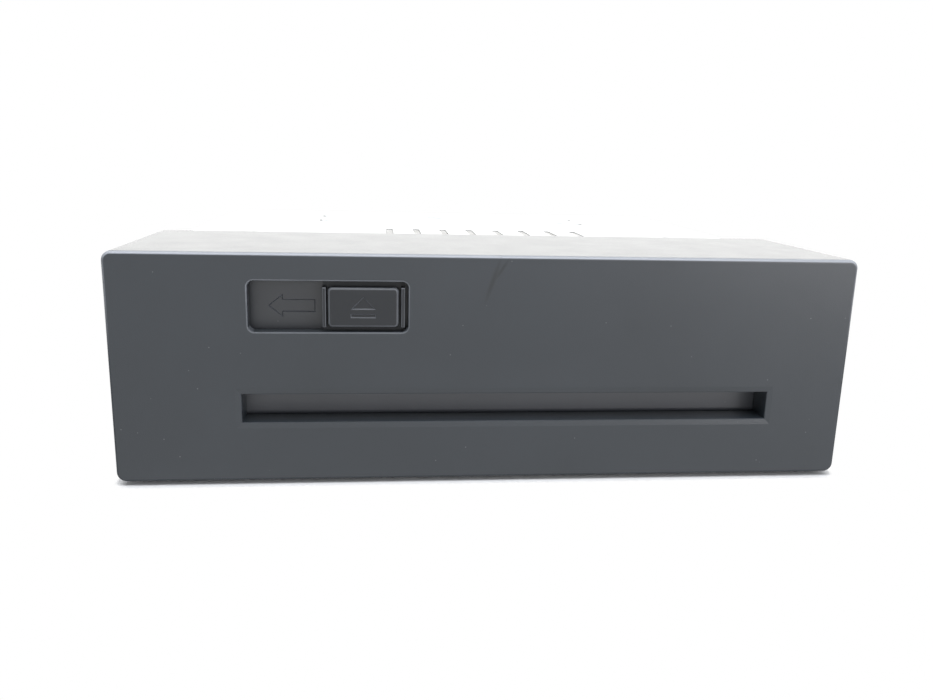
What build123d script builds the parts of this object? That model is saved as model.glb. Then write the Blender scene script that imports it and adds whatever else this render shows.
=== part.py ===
from build123d import *

import os
from math import acos, cos, degrees, pi, radians, sin, tan

os.makedirs("parts", exist_ok=True)

# Car navigation disc drive. Millimetres. X is to the right of someone facing the drive,
# Y goes back into the dashboard and Z up. The origin is the bottom centre of the outer box.
# Heights below are from the hood's underside, and the helpers lift every piece by STAND.
STAND = 1.1

# Dash front: a plastic hood with a window for the release and a slot for the disc
WIDTH = 180.0
HEIGHT = 55.4
FACE_Y = -88.0
HOOD_DEPTH = 50.4
HOOD_WALL = 2.0
FRONT_WALL = 3.0
HOOD_CORNER = 2.3
HOOD_INNER_CORNER = 1.0
FACE_EDGE = 0.9
WALL_BACK = FACE_Y + FRONT_WALL

WINDOW_X = (-58.0, -20.8)
WINDOW_Z = (36.85, 48.9)
WINDOW_CORNER = 1.5
WINDOW_RIM = 0.45

# The disc slot's mouth: a shallow dish round it, a small lip, then straight walls back to the flap
MOUTH_X = (-60.1, 69.9)
MOUTH_Z = (14.7, 21.7)
MOUTH_LIP = 0.15
DISH_REACH = 1.3
DISH_DEPTH = 0.16
COLLAR_WALL = 1.6
COLLAR_BACK = -80.9

# Release: a slider behind the front wall carries a sprung pad over the eject key
SLIDE_X = (-40.9, -21.6)
SLIDE_Z = (35.3, 50.7)
SLIDE_Y = (-84.8, -83.9)
SLIDE_CORNER = 0.5
LEFT_RIB = (-40.9, -40.0)
RIGHT_RIB = (-22.5, -21.6)
RIB_EDGE = 0.3
PAD_X = (-39.65, -23.05)
PAD_Z = (37.95, 47.45)
PAD_FACE = -87.75
PAD_BACK = -86.0
PAD_CORNER = 1.1
PAD_EDGE = 0.7
PAD_SKIN = 0.8
PAD_POST_X = (-36.2, -26.4)
PAD_POST_RADIUS = 0.9
PAD_MID_Z = 42.7
SIGN_X = -31.35
SIGN_WIDTH = 6.0
SIGN_TRIANGLE_Z = (42.2, 45.3)
SIGN_BAR_Z = (40.2, 41.2)
MARK_DEPTH = 0.3
MARK_SLOPE = 40.0

FLOOR_Y = -83.2
FLOOR_THICK = 1.2
FLOOR_X = -39.0
FLOOR_PLATE = (42.0, 18.2)
FLOOR_EARS = (52.0, 6.0)
RAIL_Z = ((34.1, 35.1), (50.9, 51.9))
STAKE_X = (-62.3, -15.7)
STAKE_RADII = (2.2, 1.0, 1.7)
ARROW_TIP = (-53.9, 42.3)
ARROW_HEAD = (-50.4, 2.85)
ARROW_SHAFT = (-42.8, 1.55)
KEY_X = (-34.7, -23.7)
KEY_Z = (40.0, 46.0)
KEY_FACE = -83.5
KEY_CORNER = 0.7
KEY_EDGE = 0.3
KEY_RIM = (1.5, 0.7)
SWITCH_X = -29.2
SWITCH_Z = 43.0
SWITCH_HALF = 3.0
SWITCH_FRONT = -80.2
PLUNGER_RADIUS = 1.6
PLUNGER_BACK = -78.7
FRONT_BOARD_X = (-60.0, -18.0)
FRONT_BOARD_Y = (-77.6, -76.2)
FRONT_BOARD_Z = (34.0, 52.0)
POST_X = (-57.0, -21.0)
POST_Z = (36.0, 50.0)
POST_RADIUS = 1.8

# Shutter flap, hung at its top edge just behind the mouth
FLAP_X = (-61.0, 72.0)
FLAP_AXIS = (-79.8, 25.0)
FLAP_LOW = 14.2
FLAP_THICK = 1.6
FLAP_PIN_X = (-65.8, 74.2)
FLAP_PIN_RADIUS = 0.8
FLAP_EDGES = (1.3, 0.2)
FLAP_ROLL = 1.0
EAR_X = ((-62.6, -61.2), (72.4, 73.8))
EAR_Z = (22.8, 26.8)
EAR_REACH = 1.8

# Metal case
CASE_HALF = 86.0
SHEET = 1.0
CASE_FRONT = -75.0
FRONT_OPENING_X = (-63.6, 75.0)
FRONT_OPENING_Z = (12.5, 28.0)
CASE_BACK = 76.0
PANEL_BACK = CASE_BACK + SHEET
CASE_FLOOR = 2.4
CASE_TOP = 51.9
COVER_HALF = 87.0
COVER_SKIRT = 44.0
VENT_COUNT = 8
VENT_PITCH = 8.95
VENT_SIZE = (26.0, 2.2)
VENT_PLACE = (7.1, -8.5)
BRACKET_Y = (-15.0, 45.0)
BRACKET_Z = (14.0, 40.0)
BRACKET_HOLE = 2.1
COVER_SCREW_Y = (-30.0, 60.0)
COVER_SCREW_Z = 48.0
HOOD_SCREW_Y = -60.0
HOOD_SCREW_Z = (12.0, 24.0)
HOOD_SCREW_SEAT = (3.1, 1.0)
HOOD_BOSS = 3.6
SCREW_HOLE = 1.6
PANEL_SCREW = (81.0, 10.0, 45.0)
FOOT_X = 70.0
FOOT_Y = (-30.0, 66.0)
FOOT_RADII = (5.2, 6.0)
STUD_PLACE = (0.0, 18.0)
STUD_RADIUS = 2.5
STUD_TIP = 88.0

# Screws as (radius, length) of head and shank
M3_HEAD = (2.7, 1.5)
M3_FLAT_HEAD = (2.8, 1.0)
M3_SHANK = (1.5, 6.0)
M25_HEAD = (2.4, 1.2)
M25_SHANK = (1.25, 8.0)
M2_HEAD = (1.9, 1.1)
M2_SHANK = (0.8, 4.0)
M2_HOLE = 1.1

# Fan at the back
FAN_PLACE = (50.0, 28.0)
FAN_SIZE = 40.0
FAN_Y = (66.0, 76.0)
FAN_BORE = 18.9
FAN_HOLE_PITCH = 32.0
ROTOR_Y = (67.6, 75.0)
BLADE_TIP = 18.3

# Upper deck with the main board
DECK_Z = 34.2
DECK_EDGE = 84.9
DECK_SCREWS = (82.0, -62.0, 56.0)
BOARD_Z = 38.2
BOARD_TOP = 39.8
BOARD_SCREWS = (74.0, -52.0, 56.0)
SINK_X = (-28.0, 38.0)
SINK_Y = (-22.0, 24.0)
SINK_Z = (41.5, 43.5, 51.0)
FIN_COUNT = 10
FIN_THICK = 1.2
POWER_X = (-74.0, -44.0)
DISPLAY_X = (-38.0, -14.0)
PLUG_Z = (39.8, 50.6)
JACK_X = 2.0
JACK_Z = 45.0
JACK_FLANGE = 4.7
JACK_RADII = (2.7, 3.6)
PIN_ROWS = (43.6, 46.8)
PIN_HALF = 0.32
PIN_COUNT = 8
PIN_INSET = 3.5

# Loader and player below the deck
DISC_CENTRE = (5.6, -2.0)
BASE_X = (-65.4, 76.6)
BASE_Y = (-72.0, 62.0)
BASE_Z = 6.4
BASE_TOP = BASE_Z + SHEET
GUIDE_Z = 30.0
DAMPERS = ((-70.4, -22.0), (-70.4, 50.0), (80.6, -25.0), (80.6, 50.0))
DAMPER_RADIUS = 3.8
DAMPER_NECK = 2.35
DAMPER_TOP = 10.4

ROLLER = (-66.5, 14.1)
ARM_PIVOT = (-46.5, 14.1)
ARM_PIN = (-36.0, 15.0)
ARM_DROP = 7.0
ROLLER_SHAFT = 1.5
PIVOT_PIN = 1.2
CAM_PIN = 0.8

MODULE = 0.5
ROLLER_TEETH = 18
IDLER_TEETH = 24
SMALL_TEETH = 14
LARGE_TEETH = 42
PINION_TEETH = 14
PRESSURE_ANGLE = radians(20.0)
INNER_GEARS = (-69.4, -67.0)
OUTER_GEARS = (-72.0, -69.8)
GEAR_AXLE = 1.0
RUNNING = 0.05

CAM_TRAVEL = 8.0
CAM_X = (-67.0, -66.0)
CAM_RIVET_Y = (-10.0, 30.0)
CAM_RIVET_Z = 16.0
CLAMP_PIVOT = (56.0, 26.5)
CLAMP_PIN_Y = 46.0
CLAMP_DROP = 4.0

TRAVERSE_Z = 9.4
TRAVERSE_X = (-62.9, 22.0)
TRAVERSE_Y = (-38.0, 30.0)
ROD_Y = (-26.0, 22.0)
ROD_Z = 12.5
ROD_RADIUS = 1.5
SCREW_Y = -32.0
SCREW_RADIUS = 1.3
LENS = (-16.4, -2.0)
LENS_RADIUS = 2.2
LENS_MOUNT_Z = 14.0


def middle(pair):
    return (pair[0] + pair[1]) / 2


def span(pair):
    return pair[1] - pair[0]


def level(z):
    """A flat plane at height z."""
    return Plane.XY.offset(STAND + z)


def upright(y):
    """A plane facing the front at depth y: X to the right, Z up. Extruding by a minus amount goes back."""
    return Plane((0, y, STAND), x_dir=(1, 0, 0), z_dir=(0, -1, 0))


def sideways(x):
    """A plane facing right at x: Y to the right of the sketch, Z up."""
    return Plane((x, 0, STAND), x_dir=(0, 1, 0), z_dir=(1, 0, 0))


def slab(x, y, z, mode=Mode.ADD):
    """A block between two limits on each axis, in the part being built."""
    with Locations((middle(x), middle(y), STAND + middle(z))):
        Box(span(x), span(y), span(z), mode=mode)


def rod_x(x, y, z, radius, mode=Mode.ADD):
    with Locations((middle(x), y, STAND + z)):
        Cylinder(radius, span(x), rotation=(0, 90, 0), mode=mode)


def rod_y(x, y, z, radius, mode=Mode.ADD):
    with Locations((x, middle(y), STAND + z)):
        Cylinder(radius, span(y), rotation=(90, 0, 0), mode=mode)


def rod_z(x, y, z, radius, mode=Mode.ADD):
    with Locations((x, y, STAND + middle(z))):
        Cylinder(radius, span(z), mode=mode)


def screw(place, outward, head, shank):
    """A cross-head screw seated at place with its head on the outward side."""
    seat = Plane(origin=(place[0], place[1], STAND + place[2]), z_dir=outward)
    with Locations(seat):
        Cylinder(head[0], head[1], align=(Align.CENTER, Align.CENTER, Align.MIN))
        Cylinder(shank[0], shank[1], align=(Align.CENTER, Align.CENTER, Align.MAX))
    with Locations(seat * Pos(0, 0, head[1])):
        Box(head[0], 0.4, 0.9, mode=Mode.SUBTRACT)
        Box(0.4, head[0], 0.9, mode=Mode.SUBTRACT)


def rounded_slab(plane, across, up, corner, depth, mode=Mode.ADD):
    """A rounded rectangle between two limits on a plane, extruded by depth."""
    with BuildSketch(plane) as outline:
        with Locations((middle(across), middle(up))):
            RectangleRounded(span(across), span(up), corner)
    extrude(outline.sketch, amount=depth, mode=mode)


def funnel(near, far):
    """Cuts a tapered opening between two rectangles, each given as (y, x limits, z limits)."""
    sections = []
    for y, across, up in (near, far):
        with BuildSketch(upright(y)) as section:
            with Locations((middle(across), middle(up))):
                Rectangle(span(across), span(up))
        sections.append(section.sketch)
    loft(sections, mode=Mode.SUBTRACT)


def sunk_mark(y, outline):
    """Presses a closed outline of (x, z) points into a front face at depth y, with sloping sides."""
    with BuildSketch(upright(y)) as mark:
        with BuildLine():
            Polyline(*outline, close=True)
        make_face()
    extrude(mark.sketch, amount=-MARK_DEPTH, taper=MARK_SLOPE, mode=Mode.SUBTRACT)


def wider(pair, extra):
    return (pair[0] - extra, pair[1] + extra)


def sided(side, inner, outer):
    """Limits on X between two distances from the middle, on the left for side -1."""
    return tuple(sorted((side * inner, side * outer)))


def coil(start, axis, radius, wire, length, turns):
    """A coil spring standing on start along axis, one round wire."""
    centre = (start[0], start[1], STAND + start[2])
    with BuildLine() as winding:
        Helix(length / turns, length, radius, center=centre, direction=axis)
    with BuildSketch(Plane(origin=winding.line @ 0, z_dir=winding.line % 0)) as section:
        Circle(wire)
    sweep(section.sketch, path=winding.line)


def save(part, name):
    """Names a finished piece and writes it to its own file."""
    part.label = name
    export_step(part, f"parts/{name}.step")


def gear_points(teeth, phase):
    """Outline of a stub involute gear, with one tooth centred at the angle phase."""
    pitch = teeth * MODULE / 2
    base = pitch * cos(PRESSURE_ANGLE)
    root = pitch - 1.1 * MODULE
    tip = pitch + 0.8 * MODULE
    backlash = 0.12
    half_tooth = (pi * MODULE / 2 - backlash) / 2 / pitch + tan(PRESSURE_ANGLE) - PRESSURE_ANGLE
    flank = [max(root, base), (max(root, base) + tip) / 2, tip]
    offsets = []
    for radius in flank:
        slope = acos(min(1.0, base / radius))
        offsets.append((radius, half_tooth - tan(slope) + slope))
    if root < base:
        offsets.insert(0, (root, half_tooth))
    points = []
    for tooth in range(teeth):
        centre = phase + 2 * pi * tooth / teeth
        points += [(r * cos(centre - a), r * sin(centre - a)) for r, a in offsets]
        points += [(r * cos(centre + a), r * sin(centre + a)) for r, a in reversed(offsets)]
    return points


def gear(place, x, teeth, phase):
    """A gear on an axle along X, between two limits on X."""
    outline = [(place[0] + y, place[1] + z) for y, z in gear_points(teeth, phase)]
    with BuildSketch(sideways(x[0])) as profile:
        with BuildLine():
            Polyline(*outline, close=True)
        make_face()
    extrude(profile.sketch, amount=span(x))


def meshed_phase(teeth, phase, other_teeth, towards):
    """Phase of a second gear, seen at the angle towards from the first, so that the two mesh."""
    return towards + pi - teeth / other_teeth * (phase - towards) - pi / other_teeth


# Gear places follow from the roller: each centre is a pitch distance from the one before
IDLER = (ROLLER[0], ROLLER[1] + (ROLLER_TEETH + IDLER_TEETH) * MODULE / 2)
COMPOUND_ANGLE = radians(-30.0)
COMPOUND_REACH = (IDLER_TEETH + SMALL_TEETH) * MODULE / 2
COMPOUND = (IDLER[0] + COMPOUND_REACH * cos(COMPOUND_ANGLE), IDLER[1] + COMPOUND_REACH * sin(COMPOUND_ANGLE))
PINION = (COMPOUND[0] + (LARGE_TEETH + PINION_TEETH) * MODULE / 2, COMPOUND[1])
ROLLER_PHASE = 0.0
IDLER_PHASE = meshed_phase(ROLLER_TEETH, ROLLER_PHASE, IDLER_TEETH, pi / 2)
SMALL_PHASE = meshed_phase(IDLER_TEETH, IDLER_PHASE, SMALL_TEETH, COMPOUND_ANGLE)
PINION_PHASE = meshed_phase(LARGE_TEETH, SMALL_PHASE, PINION_TEETH, 0.0)

# Dash front
with BuildPart() as front_bezel:
    rounded_slab(upright(FACE_Y), (-WIDTH / 2, WIDTH / 2), (0, HEIGHT), HOOD_CORNER, -HOOD_DEPTH)
    fillet(front_bezel.faces().sort_by(Axis.Y)[0].edges(), FACE_EDGE)
    inside_x = (-WIDTH / 2 + HOOD_WALL, WIDTH / 2 - HOOD_WALL)
    inside_z = (HOOD_WALL, HEIGHT - HOOD_WALL)
    inside_depth = HOOD_DEPTH - FRONT_WALL
    rounded_slab(upright(WALL_BACK), inside_x, inside_z, HOOD_INNER_CORNER, -inside_depth, Mode.SUBTRACT)
    slab(wider(MOUTH_X, COLLAR_WALL), (WALL_BACK, COLLAR_BACK), wider(MOUTH_Z, COLLAR_WALL))
    slab(MOUTH_X, (FACE_Y, COLLAR_BACK), MOUTH_Z, Mode.SUBTRACT)
    lip = (wider(MOUTH_X, MOUTH_LIP), wider(MOUTH_Z, MOUTH_LIP))
    dish = (wider(lip[0], DISH_REACH), wider(lip[1], DISH_REACH))
    lip_y = FACE_Y + DISH_DEPTH
    funnel((FACE_Y, *dish), (lip_y, *lip))
    funnel((lip_y, *lip), (lip_y + MOUTH_LIP, MOUTH_X, MOUTH_Z))
    rounded_slab(upright(FACE_Y), WINDOW_X, WINDOW_Z, WINDOW_CORNER, -FRONT_WALL, Mode.SUBTRACT)
    face_rims = front_bezel.faces().sort_by(Axis.Y)[0].inner_wires().sort_by(Axis.Z)
    fillet(face_rims[-1].edges(), WINDOW_RIM)
    # Ears for the flap's pins
    for ear_x in EAR_X:
        slab(ear_x, (WALL_BACK, FLAP_AXIS[0] + EAR_REACH), EAR_Z)
        rod_x(ear_x, *FLAP_AXIS, FLAP_PIN_RADIUS + 2 * RUNNING, Mode.SUBTRACT)
    # Heat stakes that hold the window's floor plate
    floor_back = FLOOR_Y + FLOOR_THICK
    stake_steps = ((WALL_BACK, FLOOR_Y), (FLOOR_Y, floor_back), (floor_back, floor_back + 0.6))
    for x in STAKE_X:
        for step, radius in zip(stake_steps, STAKE_RADII):
            rod_y(x, step, SWITCH_Z, radius)
    # Screw bosses between the hood and the case, with sunk seats for the heads
    seat_radius, seat_depth = HOOD_SCREW_SEAT
    for side in (-1, 1):
        for z in HOOD_SCREW_Z:
            rod_x(sided(side, CASE_HALF, inside_x[1] + 0.5), HOOD_SCREW_Y, z, HOOD_BOSS)
            rod_x(sided(side, CASE_HALF, WIDTH / 2), HOOD_SCREW_Y, z, SCREW_HOLE, Mode.SUBTRACT)
            rod_x(sided(side, WIDTH / 2 - seat_depth, WIDTH / 2), HOOD_SCREW_Y, z, seat_radius, Mode.SUBTRACT)
save(front_bezel.part, "front_bezel")

with BuildPart() as bezel_screws:
    for side in (-1, 1):
        for z in HOOD_SCREW_Z:
            seat_x = side * (WIDTH / 2 - HOOD_SCREW_SEAT[1])
            screw((seat_x, HOOD_SCREW_Y, z), (side, 0, 0), M3_FLAT_HEAD, M3_SHANK)
save(bezel_screws.part, "bezel_screws")

# Floor plate of the window, with a sunk arrow and the eject key's hole
with BuildPart() as arrow_plate:
    with BuildSketch(upright(FLOOR_Y)):
        with Locations((FLOOR_X, SWITCH_Z)):
            Rectangle(*FLOOR_PLATE)
            Rectangle(*FLOOR_EARS)
        with Locations((middle(KEY_X), middle(KEY_Z))):
            RectangleRounded(span(KEY_X) + 0.8, span(KEY_Z) + 0.8, 0.8, mode=Mode.SUBTRACT)
        for x in STAKE_X:
            with Locations((x, SWITCH_Z)):
                Circle(STAKE_RADII[1], mode=Mode.SUBTRACT)
    extrude(amount=-FLOOR_THICK)
    for rail_z in RAIL_Z:
        slab(FRONT_BOARD_X, (WALL_BACK, FLOOR_Y), rail_z)
    arrow_z = ARROW_TIP[1]
    upper_half = [
        (ARROW_HEAD[0], ARROW_HEAD[1]),
        (ARROW_HEAD[0], ARROW_SHAFT[1]),
        (ARROW_SHAFT[0], ARROW_SHAFT[1]),
    ]
    outline = [ARROW_TIP] + [(x, arrow_z + up) for x, up in upper_half]
    outline += [(x, arrow_z - down) for x, down in reversed(upper_half)]
    sunk_mark(FLOOR_Y, outline)
    for x in POST_X:
        for z in POST_Z:
            rod_y(x, (FLOOR_Y + FLOOR_THICK, FRONT_BOARD_Y[0]), z, POST_RADIUS)
            rod_y(x, (FRONT_BOARD_Y[0] - 3.0, FRONT_BOARD_Y[0]), z, M2_SHANK[0], Mode.SUBTRACT)
save(arrow_plate.part, "arrow_plate")

with BuildPart() as release_slide:
    rounded_slab(upright(SLIDE_Y[0]), SLIDE_X, SLIDE_Z, SLIDE_CORNER, -span(SLIDE_Y))
    for rib in (LEFT_RIB, RIGHT_RIB):
        slab(rib, (PAD_FACE, SLIDE_Y[0]), PAD_Z)
    rib_fronts = release_slide.faces().filter_by(Axis.Y).sort_by(Axis.Y)[:2]
    fillet(rib_fronts.edges(), RIB_EDGE)
    for x in PAD_POST_X:
        rod_y(x, SLIDE_Y, PAD_MID_Z, PAD_POST_RADIUS + 3 * RUNNING, Mode.SUBTRACT)
save(release_slide.part, "release_slide")

with BuildPart() as push_pad:
    rounded_slab(upright(PAD_FACE), PAD_X, PAD_Z, PAD_CORNER, PAD_FACE - PAD_BACK)
    fillet(push_pad.faces().sort_by(Axis.Y)[0].edges(), PAD_EDGE)
    pad_hollow = PAD_FACE + PAD_SKIN
    slab(wider(PAD_X, -PAD_SKIN), (pad_hollow, PAD_BACK), wider(PAD_Z, -PAD_SKIN), Mode.SUBTRACT)
    for x in PAD_POST_X:
        rod_y(x, (pad_hollow - 0.2, SLIDE_Y[0] + 0.2), PAD_MID_Z, PAD_POST_RADIUS)
    # Sunk open-the-drive sign: a triangle over a bar
    sign = (SIGN_X - SIGN_WIDTH / 2, SIGN_X + SIGN_WIDTH / 2)
    base, peak = SIGN_TRIANGLE_Z
    sunk_mark(PAD_FACE, [(sign[0], base), (sign[1], base), (SIGN_X, peak)])
    low, high = SIGN_BAR_Z
    sunk_mark(PAD_FACE, [(sign[0], low), (sign[1], low), (sign[1], high), (sign[0], high)])
save(push_pad.part, "push_pad")

with BuildPart() as pad_springs:
    spring_room = SLIDE_Y[0] - pad_hollow
    for x in PAD_POST_X:
        coil((x, pad_hollow + 0.2, PAD_MID_Z), (0, 1, 0), 1.4, 0.17, spring_room - 0.4, 3)
save(pad_springs.part, "pad_springs")

with BuildPart() as eject_key:
    key_back = FLOOR_Y + FLOOR_THICK + 0.1
    rim_reach, rim_thick = KEY_RIM
    rounded_slab(upright(KEY_FACE), KEY_X, KEY_Z, KEY_CORNER, KEY_FACE - key_back)
    fillet(eject_key.faces().sort_by(Axis.Y)[0].edges(), KEY_EDGE)
    slab(wider(KEY_X, rim_reach), (key_back, key_back + rim_thick), wider(KEY_Z, rim_reach))
save(eject_key.part, "eject_key")

with BuildPart() as switch_plunger:
    rod_y(SWITCH_X, (key_back + rim_thick, PLUNGER_BACK), SWITCH_Z, PLUNGER_RADIUS)
save(switch_plunger.part, "switch_plunger")

with BuildPart() as eject_switch:
    switch_x = (SWITCH_X - SWITCH_HALF, SWITCH_X + SWITCH_HALF)
    switch_z = (SWITCH_Z - SWITCH_HALF, SWITCH_Z + SWITCH_HALF)
    slab(switch_x, (SWITCH_FRONT, FRONT_BOARD_Y[0]), switch_z)
    plunger_room = (SWITCH_FRONT, PLUNGER_BACK + 0.5)
    rod_y(SWITCH_X, plunger_room, SWITCH_Z, PLUNGER_RADIUS + 3 * RUNNING, Mode.SUBTRACT)
save(eject_switch.part, "eject_switch")

with BuildPart() as front_board:
    slab(FRONT_BOARD_X, FRONT_BOARD_Y, FRONT_BOARD_Z)
    for x in POST_X:
        for z in POST_Z:
            rod_y(x, FRONT_BOARD_Y, z, M2_HOLE, Mode.SUBTRACT)
save(front_board.part, "front_board")

with BuildPart() as shutter_flap:
    flap_y = (FLAP_AXIS[0] - FLAP_THICK / 2, FLAP_AXIS[0] + FLAP_THICK / 2)
    slab(FLAP_X, flap_y, (FLAP_LOW, FLAP_AXIS[1]))
    foot_edges = shutter_flap.edges().filter_by(Axis.X).group_by(Axis.Z)[0].sort_by(Axis.Y)
    for edge, radius in zip(foot_edges, FLAP_EDGES):
        fillet(edge, radius)
    rod_x(FLAP_X, *FLAP_AXIS, FLAP_ROLL)
    rod_x(FLAP_PIN_X, *FLAP_AXIS, FLAP_PIN_RADIUS)
save(shutter_flap.part, "shutter_flap")

with BuildPart() as flap_spring:
    coil((-65.3, *FLAP_AXIS), (1, 0, 0), 1.3, 0.22, 2.2, 4)
save(flap_spring.part, "flap_spring")

# Metal case
with BuildPart() as bottom_case:
    slab((-CASE_HALF, CASE_HALF), (CASE_FRONT, CASE_BACK), (CASE_FLOOR, CASE_TOP))
    room = CASE_HALF - SHEET
    slab((-room, room), (CASE_FRONT + SHEET, CASE_BACK), (CASE_FLOOR + SHEET, CASE_TOP), Mode.SUBTRACT)
    slab(FRONT_OPENING_X, (CASE_FRONT, CASE_FRONT + SHEET), FRONT_OPENING_Z, Mode.SUBTRACT)
    for side in (-1, 1):
        tab_x = sided(side, PANEL_SCREW[0] - 4.0, room)
        slab(tab_x, (CASE_BACK - SHEET, CASE_BACK), (CASE_FLOOR + SHEET, CASE_TOP))
        lug_x = sided(side, DECK_SCREWS[0] - 3.0, room)
        for y in DECK_SCREWS[1:]:
            slab(lug_x, (y - 5.0, y + 5.0), (DECK_Z - SHEET, DECK_Z))
            rod_z(side * DECK_SCREWS[0], y, (DECK_Z - SHEET, DECK_Z), M25_SHANK[0], Mode.SUBTRACT)
        wall_x = sided(side, room, CASE_HALF)
        for y in BRACKET_Y:
            for z in BRACKET_Z:
                rod_x(wall_x, y, z, BRACKET_HOLE, Mode.SUBTRACT)
        for y in COVER_SCREW_Y:
            rod_x(wall_x, y, COVER_SCREW_Z, M3_SHANK[0], Mode.SUBTRACT)
        for z in HOOD_SCREW_Z:
            rod_x(wall_x, HOOD_SCREW_Y, z, M3_SHANK[0], Mode.SUBTRACT)
        for z in PANEL_SCREW[1:]:
            rod_y(side * PANEL_SCREW[0], (CASE_BACK - SHEET, CASE_BACK), z, M3_SHANK[0], Mode.SUBTRACT)
    for x, y in DAMPERS:
        rod_z(x, y, (CASE_FLOOR, CASE_FLOOR + SHEET), M25_SHANK[0], Mode.SUBTRACT)
    # Cooling slots in the floor
    with BuildSketch(level(CASE_FLOOR)):
        with Locations((DISC_CENTRE[0], 20.0)):
            with GridLocations(9.0, 0.0, 9, 1):
                SlotOverall(30.0, 2.6, rotation=90)
    extrude(amount=SHEET, mode=Mode.SUBTRACT)
save(bottom_case.part, "bottom_case")

with BuildPart() as top_cover:
    cover_y = (CASE_FRONT - 0.5, PANEL_BACK)
    slab((-COVER_HALF, COVER_HALF), cover_y, (COVER_SKIRT, CASE_TOP + SHEET))
    fillet(top_cover.edges().filter_by(Axis.Y).group_by(Axis.Z)[-1], 1.2)
    skirt_in = CASE_HALF + RUNNING
    slab((-skirt_in, skirt_in), cover_y, (COVER_SKIRT, CASE_TOP), Mode.SUBTRACT)
    with BuildSketch(level(CASE_TOP)):
        with Locations(VENT_PLACE):
            with GridLocations(VENT_PITCH, 0.0, VENT_COUNT, 1):
                SlotOverall(*VENT_SIZE, rotation=90)
    extrude(amount=SHEET, mode=Mode.SUBTRACT)
    for y in COVER_SCREW_Y:
        rod_x((-COVER_HALF, COVER_HALF), y, COVER_SCREW_Z, 1.6, Mode.SUBTRACT)
save(top_cover.part, "top_cover")

with BuildPart() as cover_screws:
    for side in (-1, 1):
        for y in COVER_SCREW_Y:
            screw((side * COVER_HALF, y, COVER_SCREW_Z), (side, 0, 0), M3_HEAD, M3_SHANK)
save(cover_screws.part, "cover_screws")

with BuildPart() as rear_panel:
    with BuildSketch(upright(CASE_BACK)):
        with Locations((0, middle((CASE_FLOOR, CASE_TOP)))):
            Rectangle(2 * CASE_HALF, CASE_TOP - CASE_FLOOR)
        for x in (POWER_X, DISPLAY_X):
            with Locations((middle(x), middle(PLUG_Z))):
                Rectangle(span(x) + 0.3, span(PLUG_Z) + 0.3, mode=Mode.SUBTRACT)
        with Locations((JACK_X, JACK_Z)):
            Circle(JACK_FLANGE + 0.2, mode=Mode.SUBTRACT)
        with Locations(FAN_PLACE):
            Circle(2.0, mode=Mode.SUBTRACT)
            with GridLocations(FAN_HOLE_PITCH, FAN_HOLE_PITCH, 2, 2):
                Circle(1.6, mode=Mode.SUBTRACT)
            for ring, count in ((6.0, 6), (11.0, 12), (16.0, 18)):
                with PolarLocations(ring, count):
                    Circle(1.9, mode=Mode.SUBTRACT)
        with Locations((0, middle(PANEL_SCREW[1:]))):
            with GridLocations(2 * PANEL_SCREW[0], span(PANEL_SCREW[1:]), 2, 2):
                Circle(1.6, mode=Mode.SUBTRACT)
        with Locations((-44.0, 19.0)):
            with GridLocations(6.0, 0.0, 9, 1):
                SlotOverall(18.0, 2.6, rotation=90, mode=Mode.SUBTRACT)
    extrude(amount=-SHEET)
save(rear_panel.part, "rear_panel")

with BuildPart() as rear_screws:
    fan_half = FAN_HOLE_PITCH / 2
    for side in (-1, 1):
        for z in PANEL_SCREW[1:]:
            screw((side * PANEL_SCREW[0], PANEL_BACK, z), (0, 1, 0), M3_HEAD, M3_SHANK)
        for z in (FAN_PLACE[1] - fan_half, FAN_PLACE[1] + fan_half):
            screw((FAN_PLACE[0] + side * fan_half, PANEL_BACK, z), (0, 1, 0), M3_HEAD, M3_SHANK)
save(rear_screws.part, "rear_screws")

with BuildPart() as rubber_feet:
    foot_height = STAND + CASE_FLOOR
    for x in (-FOOT_X, FOOT_X):
        for y in FOOT_Y:
            with Locations((x, y, foot_height / 2)):
                Cone(*FOOT_RADII, foot_height)
save(rubber_feet.part, "rubber_feet")

with BuildPart() as rear_stud:
    rod_y(STUD_PLACE[0], (PANEL_BACK, PANEL_BACK + 1.2), STUD_PLACE[1], 4.5)
    rod_y(STUD_PLACE[0], (PANEL_BACK + 1.2, STUD_TIP), STUD_PLACE[1], STUD_RADIUS)
    chamfer(rear_stud.faces().sort_by(Axis.Y)[-1].edges(), 0.6)
save(rear_stud.part, "rear_stud")

# Cooling fan
with BuildPart() as fan_frame:
    with BuildSketch(upright(FAN_Y[0])):
        with Locations(FAN_PLACE):
            RectangleRounded(FAN_SIZE, FAN_SIZE, 2.0)
            Circle(FAN_BORE, mode=Mode.SUBTRACT)
            with GridLocations(FAN_HOLE_PITCH, FAN_HOLE_PITCH, 2, 2):
                Circle(M3_SHANK[0], mode=Mode.SUBTRACT)
    extrude(amount=-span(FAN_Y))
    with BuildSketch(upright(FAN_Y[0])):
        with Locations(FAN_PLACE):
            Circle(9.0)
            with PolarLocations(14.2, 3, start_angle=90):
                Rectangle(11.0, 2.0)
    extrude(amount=-1.2)
    rod_y(FAN_PLACE[0], (FAN_Y[0] + 1.2, 73.0), FAN_PLACE[1], 2.4)
    rod_y(FAN_PLACE[0], (FAN_Y[0] + 0.8, 73.0), FAN_PLACE[1], 1.05, Mode.SUBTRACT)
save(fan_frame.part, "fan_frame")

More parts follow.
